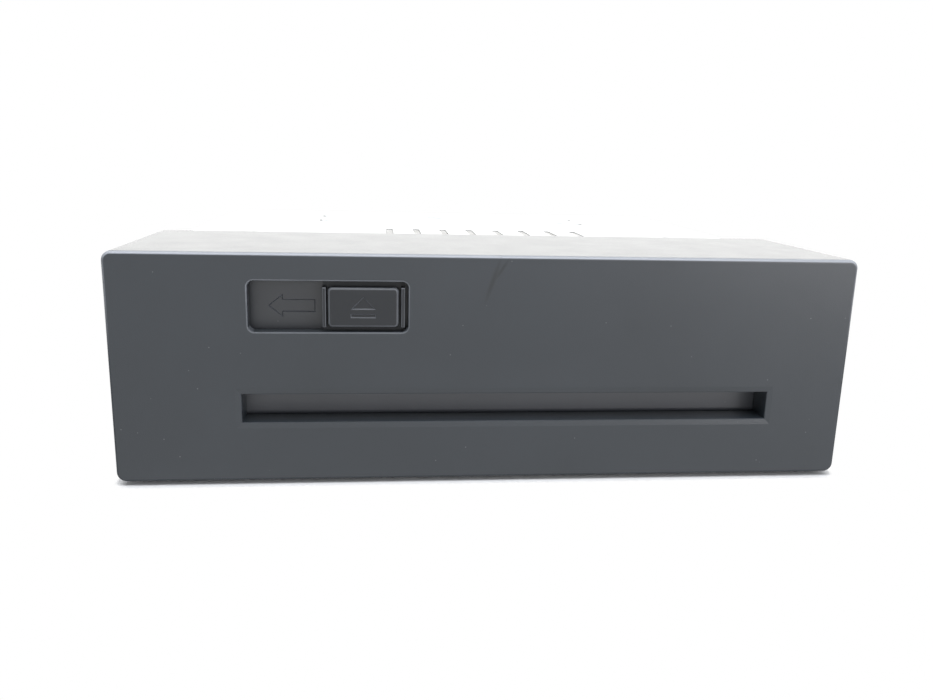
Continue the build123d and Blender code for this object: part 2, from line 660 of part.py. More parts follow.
with BuildPart() as fan_rotor:
    hub = upright(middle(ROTOR_Y)) * Pos(*FAN_PLACE, 0)
    with Locations(hub):
        with PolarLocations(13.6, 7):
            Box(10.4, 11.0, 1.0, rotation=(38, 0, 0))
    rod_y(FAN_PLACE[0], ROTOR_Y, FAN_PLACE[1], BLADE_TIP, Mode.INTERSECT)
    rod_y(FAN_PLACE[0], ROTOR_Y, FAN_PLACE[1], 9.5)
    rod_y(FAN_PLACE[0], (67.6, 73.8), FAN_PLACE[1], 8.3, Mode.SUBTRACT)
    rod_y(FAN_PLACE[0], (67.2, 74.0), FAN_PLACE[1], 1.0)
save(fan_rotor.part, "fan_rotor")

# Deck between the loader and the main board
with BuildPart() as mid_plate:
    with BuildSketch(level(DECK_Z)):
        with Locations((0, -4.5)):
            Rectangle(2 * DECK_EDGE, 137.0)
        for x in (-DECK_SCREWS[0], DECK_SCREWS[0]):
            for y in DECK_SCREWS[1:]:
                with Locations((x, y)):
                    Circle(1.35, mode=Mode.SUBTRACT)
        with Locations((83.0, -49.0)):
            Rectangle(6.0, 16.0, mode=Mode.SUBTRACT)
        with Locations((-44.0, 0.0)):
            with GridLocations(0.0, 12.0, 1, 5):
                SlotOverall(34.0, 5.0, mode=Mode.SUBTRACT)
    extrude(amount=SHEET)
    for x in (-BOARD_SCREWS[0], BOARD_SCREWS[0]):
        for y in BOARD_SCREWS[1:]:
            rod_z(x, y, (DECK_Z + SHEET, BOARD_Z), 2.5)
            rod_z(x, y, (DECK_Z, BOARD_Z), M2_SHANK[0], Mode.SUBTRACT)
save(mid_plate.part, "mid_plate")

with BuildPart() as chassis_screws:
    for x in (-DECK_SCREWS[0], DECK_SCREWS[0]):
        for y in DECK_SCREWS[1:]:
            screw((x, y, DECK_Z + SHEET), (0, 0, 1), M25_HEAD, M25_SHANK)
    for x, y in DAMPERS:
        screw((x, y, DAMPER_TOP), (0, 0, 1), M25_HEAD, M25_SHANK)
save(chassis_screws.part, "chassis_screws")

with BuildPart() as main_board:
    with BuildSketch(level(BOARD_Z)):
        with Locations((0, 2.0)):
            Rectangle(156.0, 120.0)
        with Locations((-30.25, 68.8)):
            Rectangle(92.5, 13.6)
        for x in (-BOARD_SCREWS[0], BOARD_SCREWS[0]):
            for y in BOARD_SCREWS[1:]:
                with Locations((x, y)):
                    Circle(1.1, mode=Mode.SUBTRACT)
    extrude(amount=BOARD_TOP - BOARD_Z)
save(main_board.part, "main_board")

with BuildPart() as board_screws:
    for x in (-BOARD_SCREWS[0], BOARD_SCREWS[0]):
        for y in BOARD_SCREWS[1:]:
            screw((x, y, BOARD_TOP), (0, 0, 1), M2_HEAD, M2_SHANK)
    for x in POST_X:
        for z in POST_Z:
            screw((x, FRONT_BOARD_Y[1], z), (0, 1, 0), M2_HEAD, M2_SHANK)
save(board_screws.part, "board_screws")

with BuildPart() as heat_sink:
    slab(SINK_X, SINK_Y, SINK_Z[:2])
    fin_pitch = (span(SINK_X) - FIN_THICK) / (FIN_COUNT - 1)
    for fin in range(FIN_COUNT):
        left = SINK_X[0] + fin * fin_pitch
        slab((left, left + FIN_THICK), SINK_Y, SINK_Z[1:])
save(heat_sink.part, "heat_sink")

with BuildPart() as board_chips:
    slab((-10.0, 20.0), (-14.0, 16.0), (BOARD_TOP, SINK_Z[0]))
    for x in (-58.0, -42.0):
        for y in (-12.0, 12.0):
            slab((x, x + 11.0), (y - 9.0, y + 9.0), (BOARD_TOP, BOARD_TOP + 1.1))
    slab((-20.0, -4.0), (36.0, 52.0), (BOARD_TOP, BOARD_TOP + 1.5))
    slab((14.0, 30.0), (-50.0, -34.0), (BOARD_TOP, BOARD_TOP + 1.5))
    slab((60.0, 67.0), (-56.5, -41.5), (BOARD_TOP, 41.7))
save(board_chips.part, "board_chips")

with BuildPart() as capacitors:
    for x in (-64.0, -54.0, -44.0):
        for y in (-46.0, -35.0):
            rod_z(x, y, (BOARD_TOP, BOARD_TOP + 9.5), 4.0)
    fillet(capacitors.edges().group_by(Axis.Z)[-1], 0.5)
save(capacitors.part, "capacitors")

with BuildPart() as shield_can:
    slab((44.0, 74.0), (2.0, 34.0), (BOARD_TOP, 46.0))
    slab((44.4, 73.6), (2.4, 33.6), (BOARD_TOP, 45.6), Mode.SUBTRACT)
save(shield_can.part, "shield_can")

# Sockets on the back edge of the main board
SOCKET_FLOOR = 64.0
with BuildPart() as power_connector:
    slab(POWER_X, (58.0, 80.0), PLUG_Z)
    slab(wider(POWER_X, -1.4), (SOCKET_FLOOR, 80.0), wider(PLUG_Z, -1.4), Mode.SUBTRACT)
    fillet(power_connector.edges().filter_by(Axis.Y), 0.4)
    latch_x = (middle(POWER_X) - 4, middle(POWER_X) + 4)
    slab(latch_x, (66.0, 80.0), (PLUG_Z[1] - 1.5, PLUG_Z[1] - 0.7), Mode.SUBTRACT)
save(power_connector.part, "power_connector")

with BuildPart() as display_connector:
    slab(DISPLAY_X, (58.0, 79.0), PLUG_Z)
    slab(wider(DISPLAY_X, -1.2), (SOCKET_FLOOR, 79.0), wider(PLUG_Z, -1.2), Mode.SUBTRACT)
    fillet(display_connector.edges().filter_by(Axis.Y), 0.4)
save(display_connector.part, "display_connector")

with BuildPart() as antenna_jack:
    slab((JACK_X - 5.0, JACK_X + 5.0), (60.0, CASE_BACK - 0.2), (BOARD_TOP, 50.0))
    rod_y(JACK_X, (CASE_BACK - 0.2, PANEL_BACK + 1.0), JACK_Z, JACK_FLANGE)
    rod_y(JACK_X, (PANEL_BACK + 1.0, 84.0), JACK_Z, JACK_RADII[1])
    rod_y(JACK_X, (72.0, 84.0), JACK_Z, JACK_RADII[0], Mode.SUBTRACT)
save(antenna_jack.part, "antenna_jack")

with BuildPart() as connector_pins:
    for socket_x in (POWER_X, DISPLAY_X):
        pitch = (span(socket_x) - 2 * PIN_INSET) / (PIN_COUNT - 1)
        for column in range(PIN_COUNT):
            x = socket_x[0] + PIN_INSET + column * pitch
            for z in PIN_ROWS:
                slab(wider((x, x), PIN_HALF), (SOCKET_FLOOR, 73.5), wider((z, z), PIN_HALF))
    rod_y(JACK_X, (72.0, 82.0), JACK_Z, 0.5)
save(connector_pins.part, "connector_pins")

# Loader frame: a folded tray that floats on four rubber dampers
with BuildPart() as mech_base:
    slab(BASE_X, BASE_Y, (BASE_Z, BASE_TOP))
    slab((BASE_X[0], BASE_X[0] + SHEET), BASE_Y, (BASE_TOP, GUIDE_Z))
    slab((BASE_X[1] - SHEET, BASE_X[1]), BASE_Y, (BASE_TOP, GUIDE_Z))
    for x, y in DAMPERS:
        ear_x = (x - 4.0, BASE_X[0]) if x < 0 else (BASE_X[1], x + 4.0)
        slab(ear_x, (y - 5.0, y + 5.0), (BASE_Z, BASE_TOP))
        rod_z(x, y, (BASE_Z, BASE_TOP), DAMPER_NECK + RUNNING, Mode.SUBTRACT)
    # Slots for the roller's shaft and for the two cam pins
    wall = (BASE_X[0], BASE_X[0] + SHEET)
    slab(wall, (ROLLER[0] - 1.9, ROLLER[0] + 2.1), (9.6, 16.0), Mode.SUBTRACT)
    slab(wall, (ARM_PIN[0] - 1.5, ARM_PIN[0] + 1.3), (13.8, 17.6), Mode.SUBTRACT)
    slab(wall, (CLAMP_PIN_Y - 1.4, CLAMP_PIN_Y + 1.4), (24.8, 27.9), Mode.SUBTRACT)
    for x in (wall, (BASE_X[1] - SHEET, BASE_X[1])):
        rod_x(x, *ARM_PIVOT, PIVOT_PIN + RUNNING, Mode.SUBTRACT)
    # Gear axles and the cam's two guide rivets
    rod_x((-69.6, BASE_X[0]), *IDLER, GEAR_AXLE)
    rod_x((-72.4, BASE_X[0]), *COMPOUND, GEAR_AXLE)
    for y in CAM_RIVET_Y:
        rod_x((-67.3, BASE_X[0]), y, CAM_RIVET_Z, 1.0)
        rod_x((-67.9, -67.3), y, CAM_RIVET_Z, 1.9)
    # Brackets for the clamp arm's pivot
    for x in ((-17.3, -16.3), (27.5, 28.5)):
        slab(x, (54.5, 58.5), (BASE_TOP, CLAMP_PIVOT[1] + 2.0))
        rod_x(x, *CLAMP_PIVOT, PIVOT_PIN + RUNNING, Mode.SUBTRACT)
    with BuildSketch(level(BASE_Z)):
        with Locations((48.0, 5.0)):
            RectangleRounded(36.0, 70.0, 4.0)
        with Locations((-30.0, 45.0)):
            RectangleRounded(40.0, 14.0, 3.0)
    extrude(amount=SHEET, mode=Mode.SUBTRACT)
save(mech_base.part, "mech_base")

with BuildPart() as mech_top_guide:
    with BuildSketch(level(GUIDE_Z)):
        with Locations((middle(BASE_X), middle(BASE_Y))):
            Rectangle(span(BASE_X), span(BASE_Y))
        with Locations(DISC_CENTRE):
            Circle(18.0, mode=Mode.SUBTRACT)
        for x in (-38.0, 50.0):
            with Locations((x, 0.0)):
                RectangleRounded(24.0, 70.0, 4.0, mode=Mode.SUBTRACT)
    extrude(amount=SHEET)
    slab((-60.0, 71.2), (-64.5, -63.5), (19.6, GUIDE_Z))
    slab((-60.0, 71.2), (-69.5, -64.5), (19.6, 20.8))
save(mech_top_guide.part, "mech_top_guide")

with BuildPart() as dampers:
    for x, y in DAMPERS:
        rod_z(x, y, (CASE_FLOOR + SHEET, BASE_Z), DAMPER_RADIUS)
        rod_z(x, y, (BASE_Z, BASE_TOP), DAMPER_NECK)
        rod_z(x, y, (BASE_TOP, DAMPER_TOP), DAMPER_RADIUS)
        rod_z(x, y, (CASE_FLOOR + SHEET, DAMPER_TOP), M25_SHANK[0], Mode.SUBTRACT)
save(dampers.part, "dampers")

with BuildPart() as servo_board:
    slab((-40.0, 60.0), (-66.0, -40.0), (4.6, 5.8))
    for x in (-36.0, 48.0):
        for y in (-63.0, -43.0):
            rod_z(x, y, (5.8, BASE_Z), 2.0)
save(servo_board.part, "servo_board")

with BuildPart() as ribbon_cable:
    cable_y = (-56.0, -42.0)
    slab((52.0, 81.4), cable_y, (5.8, 6.1))
    slab((81.1, 81.4), cable_y, (5.8, 42.0))
    slab((62.0, 81.4), cable_y, (41.7, 42.0))
save(ribbon_cable.part, "ribbon_cable")

# Player: spindle, pick-up sled and its rods on one plate
with BuildPart() as traverse_plate:
    with BuildSketch(level(TRAVERSE_Z)):
        with Locations((middle(TRAVERSE_X), middle(TRAVERSE_Y))):
            RectangleRounded(span(TRAVERSE_X), span(TRAVERSE_Y), 2.0)
        with Locations((-34.0, -2.0)):
            RectangleRounded(48.0, 36.0, 3.0, mode=Mode.SUBTRACT)
        with Locations((3.5, SCREW_Y)):
            Rectangle(14.0, 10.0, mode=Mode.SUBTRACT)
    extrude(amount=SHEET)
    for x in (-58.0, 18.0):
        for y in (-34.5, 26.5):
            rod_z(x, y, (BASE_TOP, TRAVERSE_Z), 2.0)
    for x in ((-62.4, -60.4), (-6.9, -4.9)):
        for y in ROD_Y:
            slab(x, (y - 2.2, y + 2.2), (TRAVERSE_Z + SHEET, 15.0))
            rod_x(x, y, ROD_Z, ROD_RADIUS, Mode.SUBTRACT)
    slab((-62.4, -60.4), (SCREW_Y - 2.2, SCREW_Y + 2.2), (TRAVERSE_Z + SHEET, 15.0))
    rod_x((-62.4, -60.4), SCREW_Y, ROD_Z, SCREW_RADIUS + RUNNING, Mode.SUBTRACT)
save(traverse_plate.part, "traverse_plate")

with BuildPart() as guide_rods:
    for y in ROD_Y:
        rod_x((-62.4, -4.9), y, ROD_Z, ROD_RADIUS)
save(guide_rods.part, "guide_rods")

with BuildPart() as lead_screw:
    rod_x((-62.2, -0.6), SCREW_Y, ROD_Z, SCREW_RADIUS)
save(lead_screw.part, "lead_screw")

with BuildPart() as feed_motor:
    rod_x((-3.0, 9.0), SCREW_Y, ROD_Z, 4.6)
    slab((-4.0, -3.0), (SCREW_Y - 5.5, SCREW_Y + 5.5), (TRAVERSE_Z + SHEET, 17.1))
    rod_x((-4.0, 0.0), SCREW_Y, ROD_Z, SCREW_RADIUS + RUNNING, Mode.SUBTRACT)
save(feed_motor.part, "feed_motor")

with BuildPart() as spindle_motor:
    rod_z(*DISC_CENTRE, (TRAVERSE_Z + SHEET, 15.4), 11.0)
    fillet(spindle_motor.edges().group_by(Axis.Z)[-1], 0.6)
    rod_z(*DISC_CENTRE, (12.0, 15.4), 1.0 + RUNNING, Mode.SUBTRACT)
save(spindle_motor.part, "spindle_motor")

with BuildPart() as turntable:
    with BuildSketch(Plane((*DISC_CENTRE, STAND), x_dir=(1, 0, 0), z_dir=(0, -1, 0))):
        with BuildLine():
            Polyline(
                (0, 12.2),
                (1.0, 12.2),
                (1.0, 15.9),
                (12.0, 15.9),
                (12.0, 17.9),
                (7.5, 17.9),
                (6.9, 19.6),
                (6.2, 19.9),
                (0, 19.9),
                close=True,
            )
        make_face()
    revolve(axis=Axis((*DISC_CENTRE, 0), (0, 0, 1)))
save(turntable.part, "turntable")

with BuildPart() as pickup_sled:
    slab((LENS[0] - 8, LENS[0] + 8), (-24.0, 20.0), (10.8, 15.0))
    for y in ROD_Y:
        slab((LENS[0] - 8, LENS[0] + 8), (y - 2.6, y + 2.6), (10.8, 15.0))
        rod_x((LENS[0] - 8, LENS[0] + 8), y, ROD_Z, ROD_RADIUS + RUNNING, Mode.SUBTRACT)
    slab((-22.0, -11.0), (SCREW_Y - 2.5, -28.0), (10.8, 14.6))
    rod_x((-22.0, -11.0), SCREW_Y, ROD_Z, SCREW_RADIUS + RUNNING, Mode.SUBTRACT)
    slab((-21.0, -11.8), (-7.6, 3.6), (13.4, 15.0), Mode.SUBTRACT)
save(pickup_sled.part, "pickup_sled")

with BuildPart() as lens_holder:
    rounded_slab(level(LENS_MOUNT_Z), (-20.4, -12.4), (-7.0, 3.0), 1.0, 2.0)
    rod_z(*LENS, (LENS_MOUNT_Z, LENS_MOUNT_Z + 2.0), LENS_RADIUS, Mode.SUBTRACT)
save(lens_holder.part, "lens_holder")

with BuildPart() as objective_lens:
    rod_z(*LENS, (14.8, 16.4), LENS_RADIUS)
    fillet(objective_lens.edges().group_by(Axis.Z)[-1], 0.9)
save(objective_lens.part, "objective_lens")

# Clamp that holds the disc on the turntable
with BuildPart() as clamp_arm:
    with BuildSketch(level(26.0)):
        with BuildLine():
            Polyline(
                (-15.0, 61.5),
                (26.0, 61.5),
                (26.0, 46.0),
                (17.6, -2.0),
                (-6.4, -2.0),
                (-15.0, 46.0),
                close=True,
            )
        make_face()
        with Locations((-39.0, 46.0)):
            Rectangle(49.0, 6.0)
        with Locations(DISC_CENTRE):
            Circle(12.0)
            Circle(6.0, mode=Mode.SUBTRACT)
        with Locations((5.6, 38.0)):
            RectangleRounded(16.0, 20.0, 2.0, mode=Mode.SUBTRACT)
    extrude(amount=SHEET)
    rod_x((-17.5, -14.0), *CLAMP_PIVOT, PIVOT_PIN)
    rod_x((25.0, 28.7), *CLAMP_PIVOT, PIVOT_PIN)
    rod_x((-67.2, -62.0), CLAMP_PIN_Y, CLAMP_PIVOT[1], CAM_PIN)
save(clamp_arm.part, "clamp_arm")

with BuildPart() as clamper:
    rod_z(*DISC_CENTRE, (23.4, 25.4), 14.0)
    rod_z(*DISC_CENTRE, (25.4, 27.6), 5.0)
    rod_z(*DISC_CENTRE, (27.6, 28.6), 8.0)
    rod_z(*DISC_CENTRE, (23.4, 25.0), 8.2, Mode.SUBTRACT)
save(clamper.part, "clamper")

with BuildPart() as clamp_springs:
    for x in (-12.0, 23.0):
        coil((x, 59.6, BASE_TOP + 0.3), (0, 0, 1), 1.6, 0.28, 26.0 - BASE_TOP - 0.6, 7)
save(clamp_springs.part, "clamp_springs")

# Loading roller on its swinging arm
with BuildPart() as roller_arm:
    left_plate = (-63.9, -62.9)
    right_plate = (74.1, 75.1)
    for plate in (left_plate, right_plate):
        with BuildSketch(sideways(plate[0])):
            with Locations(ARM_PIVOT):
                Circle(3.6)
            with Locations(ROLLER):
                Circle(3.0)
            with BuildLine():
                Polyline(
                    (ROLLER[0], ROLLER[1] + 3.0),
                    (ARM_PIVOT[0], ARM_PIVOT[1] + 3.6),
                    (ARM_PIVOT[0], 9.0),
                    (ARM_PIVOT[0] - 4.0, 9.0),
                    (ROLLER[0], ROLLER[1] - 3.0),
                    close=True,
                )
            make_face()
            with Locations(ROLLER):
                Circle(ROLLER_SHAFT + RUNNING, mode=Mode.SUBTRACT)
        extrude(amount=span(plate))
    slab(left_plate, (ARM_PIVOT[0], ARM_PIN[0] + 1.6), (12.6, 16.6))
    rod_x((-67.2, left_plate[1]), *ARM_PIN, CAM_PIN)
    rod_x((-65.2, left_plate[1]), *ARM_PIVOT, PIVOT_PIN)
    rod_x((right_plate[0], 76.4), *ARM_PIVOT, PIVOT_PIN)
    slab((left_plate[1], right_plate[0]), (-50.0, ARM_PIVOT[0] + 1.5), (9.0, 10.0))
save(roller_arm.part, "roller_arm")

with BuildPart() as roller_shaft:
    rod_x((-69.6, 75.4), *ROLLER, ROLLER_SHAFT)
save(roller_shaft.part, "roller_shaft")

with BuildPart() as roller_sleeves:
    roller_middle = (0, ROLLER[0], STAND + ROLLER[1])
    for inner, outer in ((4.6, -59.0), (6.6, 70.2)):
        with BuildSketch(Plane(roller_middle)):
            with BuildLine():
                Polyline(
                    (inner, ROLLER_SHAFT),
                    (inner, 3.0),
                    (outer, 3.6),
                    (outer, ROLLER_SHAFT),
                    close=True,
                )
            make_face()
        revolve(axis=Axis(roller_middle, (1, 0, 0)))
save(roller_sleeves.part, "roller_sleeves")

# Loading gear train on the left wall
with BuildPart() as roller_gear:
    gear(ROLLER, INNER_GEARS, ROLLER_TEETH, ROLLER_PHASE)
    rod_x(INNER_GEARS, *ROLLER, ROLLER_SHAFT, Mode.SUBTRACT)
save(roller_gear.part, "roller_gear")

with BuildPart() as idler_gear:
    gear(IDLER, INNER_GEARS, IDLER_TEETH, IDLER_PHASE)
    rod_x(INNER_GEARS, *IDLER, GEAR_AXLE + RUNNING, Mode.SUBTRACT)
save(idler_gear.part, "idler_gear")

with BuildPart() as compound_gear:
    gear(COMPOUND, (OUTER_GEARS[1], INNER_GEARS[1]), SMALL_TEETH, SMALL_PHASE)
    gear(COMPOUND, OUTER_GEARS, LARGE_TEETH, SMALL_PHASE)
    rod_x((OUTER_GEARS[0], INNER_GEARS[1]), *COMPOUND, GEAR_AXLE + RUNNING, Mode.SUBTRACT)
save(compound_gear.part, "compound_gear")

MOTOR_FACE = -73.4
with BuildPart() as motor_pinion:
    gear(PINION, OUTER_GEARS, PINION_TEETH, PINION_PHASE)
    rod_x((MOTOR_FACE - 2.5, OUTER_GEARS[1]), *PINION, 0.75)
save(motor_pinion.part, "motor_pinion")

with BuildPart() as loading_motor:
    rod_x((-84.6, MOTOR_FACE), *PINION, 8.0)
    fillet(loading_motor.edges().group_by(Axis.X)[0], 0.8)
    rod_x((MOTOR_FACE - 3.0, MOTOR_FACE), *PINION, 0.8, Mode.SUBTRACT)
save(loading_motor.part, "loading_motor")

with BuildPart() as gear_plate:
    with BuildSketch(sideways(MOTOR_FACE)):
        with Locations((-51.5, 19.5)):
            RectangleRounded(33.0, 24.0, 3.0)
        with Locations(COMPOUND):
            Circle(GEAR_AXLE, mode=Mode.SUBTRACT)
        with Locations(PINION):
            Circle(1.2, mode=Mode.SUBTRACT)
    extrude(amount=SHEET)
    for y, z in ((-40.0, 28.5), (-48.0, 9.6)):
        rod_x((MOTOR_FACE + SHEET, BASE_X[0]), y, z, 1.6)
save(gear_plate.part, "gear_plate")

# Cam slide that lowers the roller and the clamp together
CAM_SLOT = 0.95
with BuildPart() as cam_plate:
    with BuildSketch(sideways(CAM_X[0])):
        with BuildLine():
            Polyline(
                (-47.0, 12.2),
                (56.0, 12.2),
                (56.0, 29.0),
                (34.0, 29.0),
                (30.0, 20.0),
                (-47.0, 20.0),
                close=True,
            )
        make_face()
        for y in CAM_RIVET_Y:
            with Locations((y - CAM_TRAVEL / 2, CAM_RIVET_Z)):
                SlotCenterToCenter(CAM_TRAVEL + 0.6, 2.2, mode=Mode.SUBTRACT)
        swing = radians(ARM_DROP)
        reach = (ARM_PIN[0] - ARM_PIVOT[0], ARM_PIN[1] - ARM_PIVOT[1])
        pin_end = (
            ARM_PIVOT[0] + reach[0] * cos(swing) - reach[1] * sin(swing) - CAM_TRAVEL,
            ARM_PIVOT[1] + reach[0] * sin(swing) + reach[1] * cos(swing),
        )
        tilt = degrees(-(pin_end[1] - ARM_PIN[1]) / (ARM_PIN[0] - pin_end[0]))
        with Locations(((ARM_PIN[0] + pin_end[0]) / 2, (ARM_PIN[1] + pin_end[1]) / 2)):
            SlotCenterToCenter(CAM_TRAVEL + 0.6, 2 * CAM_SLOT, rotation=tilt, mode=Mode.SUBTRACT)
        clamp_fall = (CLAMP_PIVOT[0] - CLAMP_PIN_Y) * sin(radians(CLAMP_DROP))
        tilt = degrees(clamp_fall / CAM_TRAVEL)
        with Locations((CLAMP_PIN_Y - CAM_TRAVEL / 2, CLAMP_PIVOT[1] - clamp_fall / 2)):
            SlotCenterToCenter(CAM_TRAVEL + 0.6, 2 * CAM_SLOT, rotation=tilt, mode=Mode.SUBTRACT)
    extrude(amount=span(CAM_X))
save(cam_plate.part, "cam_plate")
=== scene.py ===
import math

import bpy
from mathutils import Matrix, Vector


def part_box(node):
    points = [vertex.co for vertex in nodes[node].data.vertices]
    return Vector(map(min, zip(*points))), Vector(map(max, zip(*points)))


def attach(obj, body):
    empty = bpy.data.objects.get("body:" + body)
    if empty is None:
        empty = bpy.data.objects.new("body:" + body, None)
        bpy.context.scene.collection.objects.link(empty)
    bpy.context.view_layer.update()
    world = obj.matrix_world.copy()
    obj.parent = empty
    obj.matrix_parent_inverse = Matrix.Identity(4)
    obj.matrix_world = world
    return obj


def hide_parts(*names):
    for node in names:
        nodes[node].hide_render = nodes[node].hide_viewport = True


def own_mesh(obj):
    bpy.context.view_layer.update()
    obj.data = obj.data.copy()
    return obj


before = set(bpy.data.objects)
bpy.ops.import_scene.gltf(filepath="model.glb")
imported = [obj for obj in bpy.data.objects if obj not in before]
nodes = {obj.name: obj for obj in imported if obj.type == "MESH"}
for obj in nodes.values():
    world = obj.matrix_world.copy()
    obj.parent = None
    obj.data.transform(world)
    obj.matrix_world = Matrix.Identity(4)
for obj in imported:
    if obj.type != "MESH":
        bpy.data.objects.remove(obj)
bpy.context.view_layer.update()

MM = 0.001


def limits(name):
    """The lowest and the highest corner of a CAD node, in millimetres, with heights from the floor."""
    return [[round(value / MM, 2) for value in corner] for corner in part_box(name)]


# Outer faces of the drive, read from its CAD nodes
FACE = limits("front_bezel")[0][1]
HOOD_SIDE, _, CROWN = limits("front_bezel")[1]
COVER_SIDE, _, COVER_TOP = limits("top_cover")[1]
CASE_SIDE = limits("bottom_case")[1][0]
PANEL_BACK = limits("rear_panel")[1][1]

# Camera, from a fit of the face's corners and edges in the photograph
CAMERA_PLACE = Vector((-27.7, -282.6, 79.8)) * MM
CAMERA_RIGHT = Vector((0.9946, -0.101, 0.0248))
CAMERA_FORWARD = Vector((0.104, 0.9678, -0.2293))
CAMERA_LENS = 32.3
CAMERA_SENSOR = 36.0

# Studio: the floor's size in metres, how far the object dims it, and the strength of the light all round
FLOOR_SIZE = 8.0
CONTACT_REACH = 4.0 * MM
ROOM_LIGHT = 0.25

# Pale colours of the painted highlight on rounded edges, settled motes, and powder or dust on rubber and
# cloth
EDGE_HIGHLIGHT = (0.34, 0.36, 0.4)
MOTES = (0.35, 0.35, 0.34)
RUBBER_BLOOM = (0.12, 0.115, 0.11)
CLOTH_DUST = (0.36, 0.34, 0.31)
COPPER_UNDER_MASK = (0.06, 0.3, 0.14)


def link(tree, source, target):
    """Joins two sockets of a node tree."""
    tree.links.new(source, target)


def new_material(name, colour, metallic, roughness, specular=0.5):
    """A material with one Principled shader, and the node tree to add its surface to."""
    material = bpy.data.materials.new(name)
    material.use_nodes = True
    tree = material.node_tree
    shader = tree.nodes["Principled BSDF"]
    shader.inputs["Base Color"].default_value = (*colour, 1.0)
    shader.inputs["Metallic"].default_value = metallic
    shader.inputs["Roughness"].default_value = roughness
    shader.inputs["Specular IOR Level"].default_value = specular
    return material, tree, shader


def object_place(tree, stretch=(1.0, 1.0, 1.0), turn=(0.0, 0.0, 0.0)):
    """Object coordinates, stretched and turned."""
    coordinates = tree.nodes.new("ShaderNodeTexCoord")
    mapping = tree.nodes.new("ShaderNodeMapping")
    mapping.inputs["Scale"].default_value = stretch
    mapping.inputs["Rotation"].default_value = turn
    link(tree, coordinates.outputs["Object"], mapping.inputs["Vector"])
    return mapping.outputs["Vector"]


def noise(tree, place, scale, detail=3.0, rough=0.5):
    """Soft noise from 0 to 1."""
    texture = tree.nodes.new("ShaderNodeTexNoise")
    texture.inputs["Scale"].default_value = scale
    texture.inputs["Detail"].default_value = detail
    texture.inputs["Roughness"].default_value = rough
    link(tree, place, texture.inputs["Vector"])
    return texture.outputs["Fac"]


def specks(tree, place, scale, size):
    """Small sparse spots: 1 inside a spot, 0 outside."""
    texture = tree.nodes.new("ShaderNodeTexVoronoi")
    texture.inputs["Scale"].default_value = scale
    link(tree, place, texture.inputs["Vector"])
    return ramp(tree, texture.outputs["Distance"], size, size * 0.5, 0.0, 1.0)


def ramp(tree, value, low, high, out_low=0.0, out_high=1.0):
    """Maps a value from one range to another, clamped."""
    node = tree.nodes.new("ShaderNodeMapRange")
    node.inputs["From Min"].default_value = low
    node.inputs["From Max"].default_value = high
    node.inputs["To Min"].default_value = out_low
    node.inputs["To Max"].default_value = out_high
    link(tree, value, node.inputs["Value"])
    return node.outputs["Result"]


def blend_colours(tree, factor, first, second):
    """A colour between two, each a tuple or a socket."""
    node = tree.nodes.new("ShaderNodeMix")
    node.data_type = "RGBA"
    for side, colour in (("A", first), ("B", second)):
        socket = [s for s in node.inputs if s.name == side and s.type == "RGBA"][0]
        if isinstance(colour, tuple):
            socket.default_value = (*colour, 1.0)
        else:
            link(tree, colour, socket)
    link(tree, factor, node.inputs["Factor"])
    return [s for s in node.outputs if s.type == "RGBA"][0]


def calculate(tree, kind, first, second):
    """A sum on two values, each a number or a socket."""
    node = tree.nodes.new("ShaderNodeMath")
    node.operation = kind
    for index, value in enumerate((first, second)):
        if isinstance(value, (int, float)):
            node.inputs[index].default_value = value
        else:
            link(tree, value, node.inputs[index])
    return node.outputs["Value"]


def bump(tree, height, distance, strength=1.0, below=None):
    """Fine relief from a height, over any relief below it."""
    node = tree.nodes.new("ShaderNodeBump")
    node.inputs["Distance"].default_value = distance
    node.inputs["Strength"].default_value = strength
    link(tree, height, node.inputs["Height"])
    if below is not None:
        link(tree, below, node.inputs["Normal"])
    return node.outputs["Normal"]


def worn_edges(tree, radius):
    """1 along sharp outer edges, 0 on flat surfaces."""
    bevel = tree.nodes.new("ShaderNodeBevel")
    bevel.samples = 4
    bevel.inputs["Radius"].default_value = radius
    geometry = tree.nodes.new("ShaderNodeNewGeometry")
    dot = tree.nodes.new("ShaderNodeVectorMath")
    dot.operation = "DOT_PRODUCT"
    link(tree, bevel.outputs["Normal"], dot.inputs[0])
    link(tree, geometry.outputs["Normal"], dot.inputs[1])
    return ramp(tree, dot.outputs["Value"], 0.98, 0.85)


def rounded_edges(tree):
    """1 on the rounded edges of a boxy part, where its surface faces none of the object's axes."""
    coordinates = tree.nodes.new("ShaderNodeTexCoord")
    split = tree.nodes.new("ShaderNodeSeparateXYZ")
    link(tree, coordinates.outputs["Normal"], split.inputs["Vector"])
    sides = [calculate(tree, "ABSOLUTE", split.outputs[axis], 0.0) for axis in ("X", "Y", "Z")]
    squarest = calculate(tree, "MAXIMUM", calculate(tree, "MAXIMUM", sides[0], sides[1]), sides[2])
    return ramp(tree, squarest, 0.985, 0.93)


def height_above(tree, place, low, high):
    """0 below one height and 1 above another."""
    split = tree.nodes.new("ShaderNodeSeparateXYZ")
    link(tree, place, split.inputs["Vector"])
    return ramp(tree, split.outputs["Z"], low * MM, high * MM)


SCUFF_DEPTH = 4.0


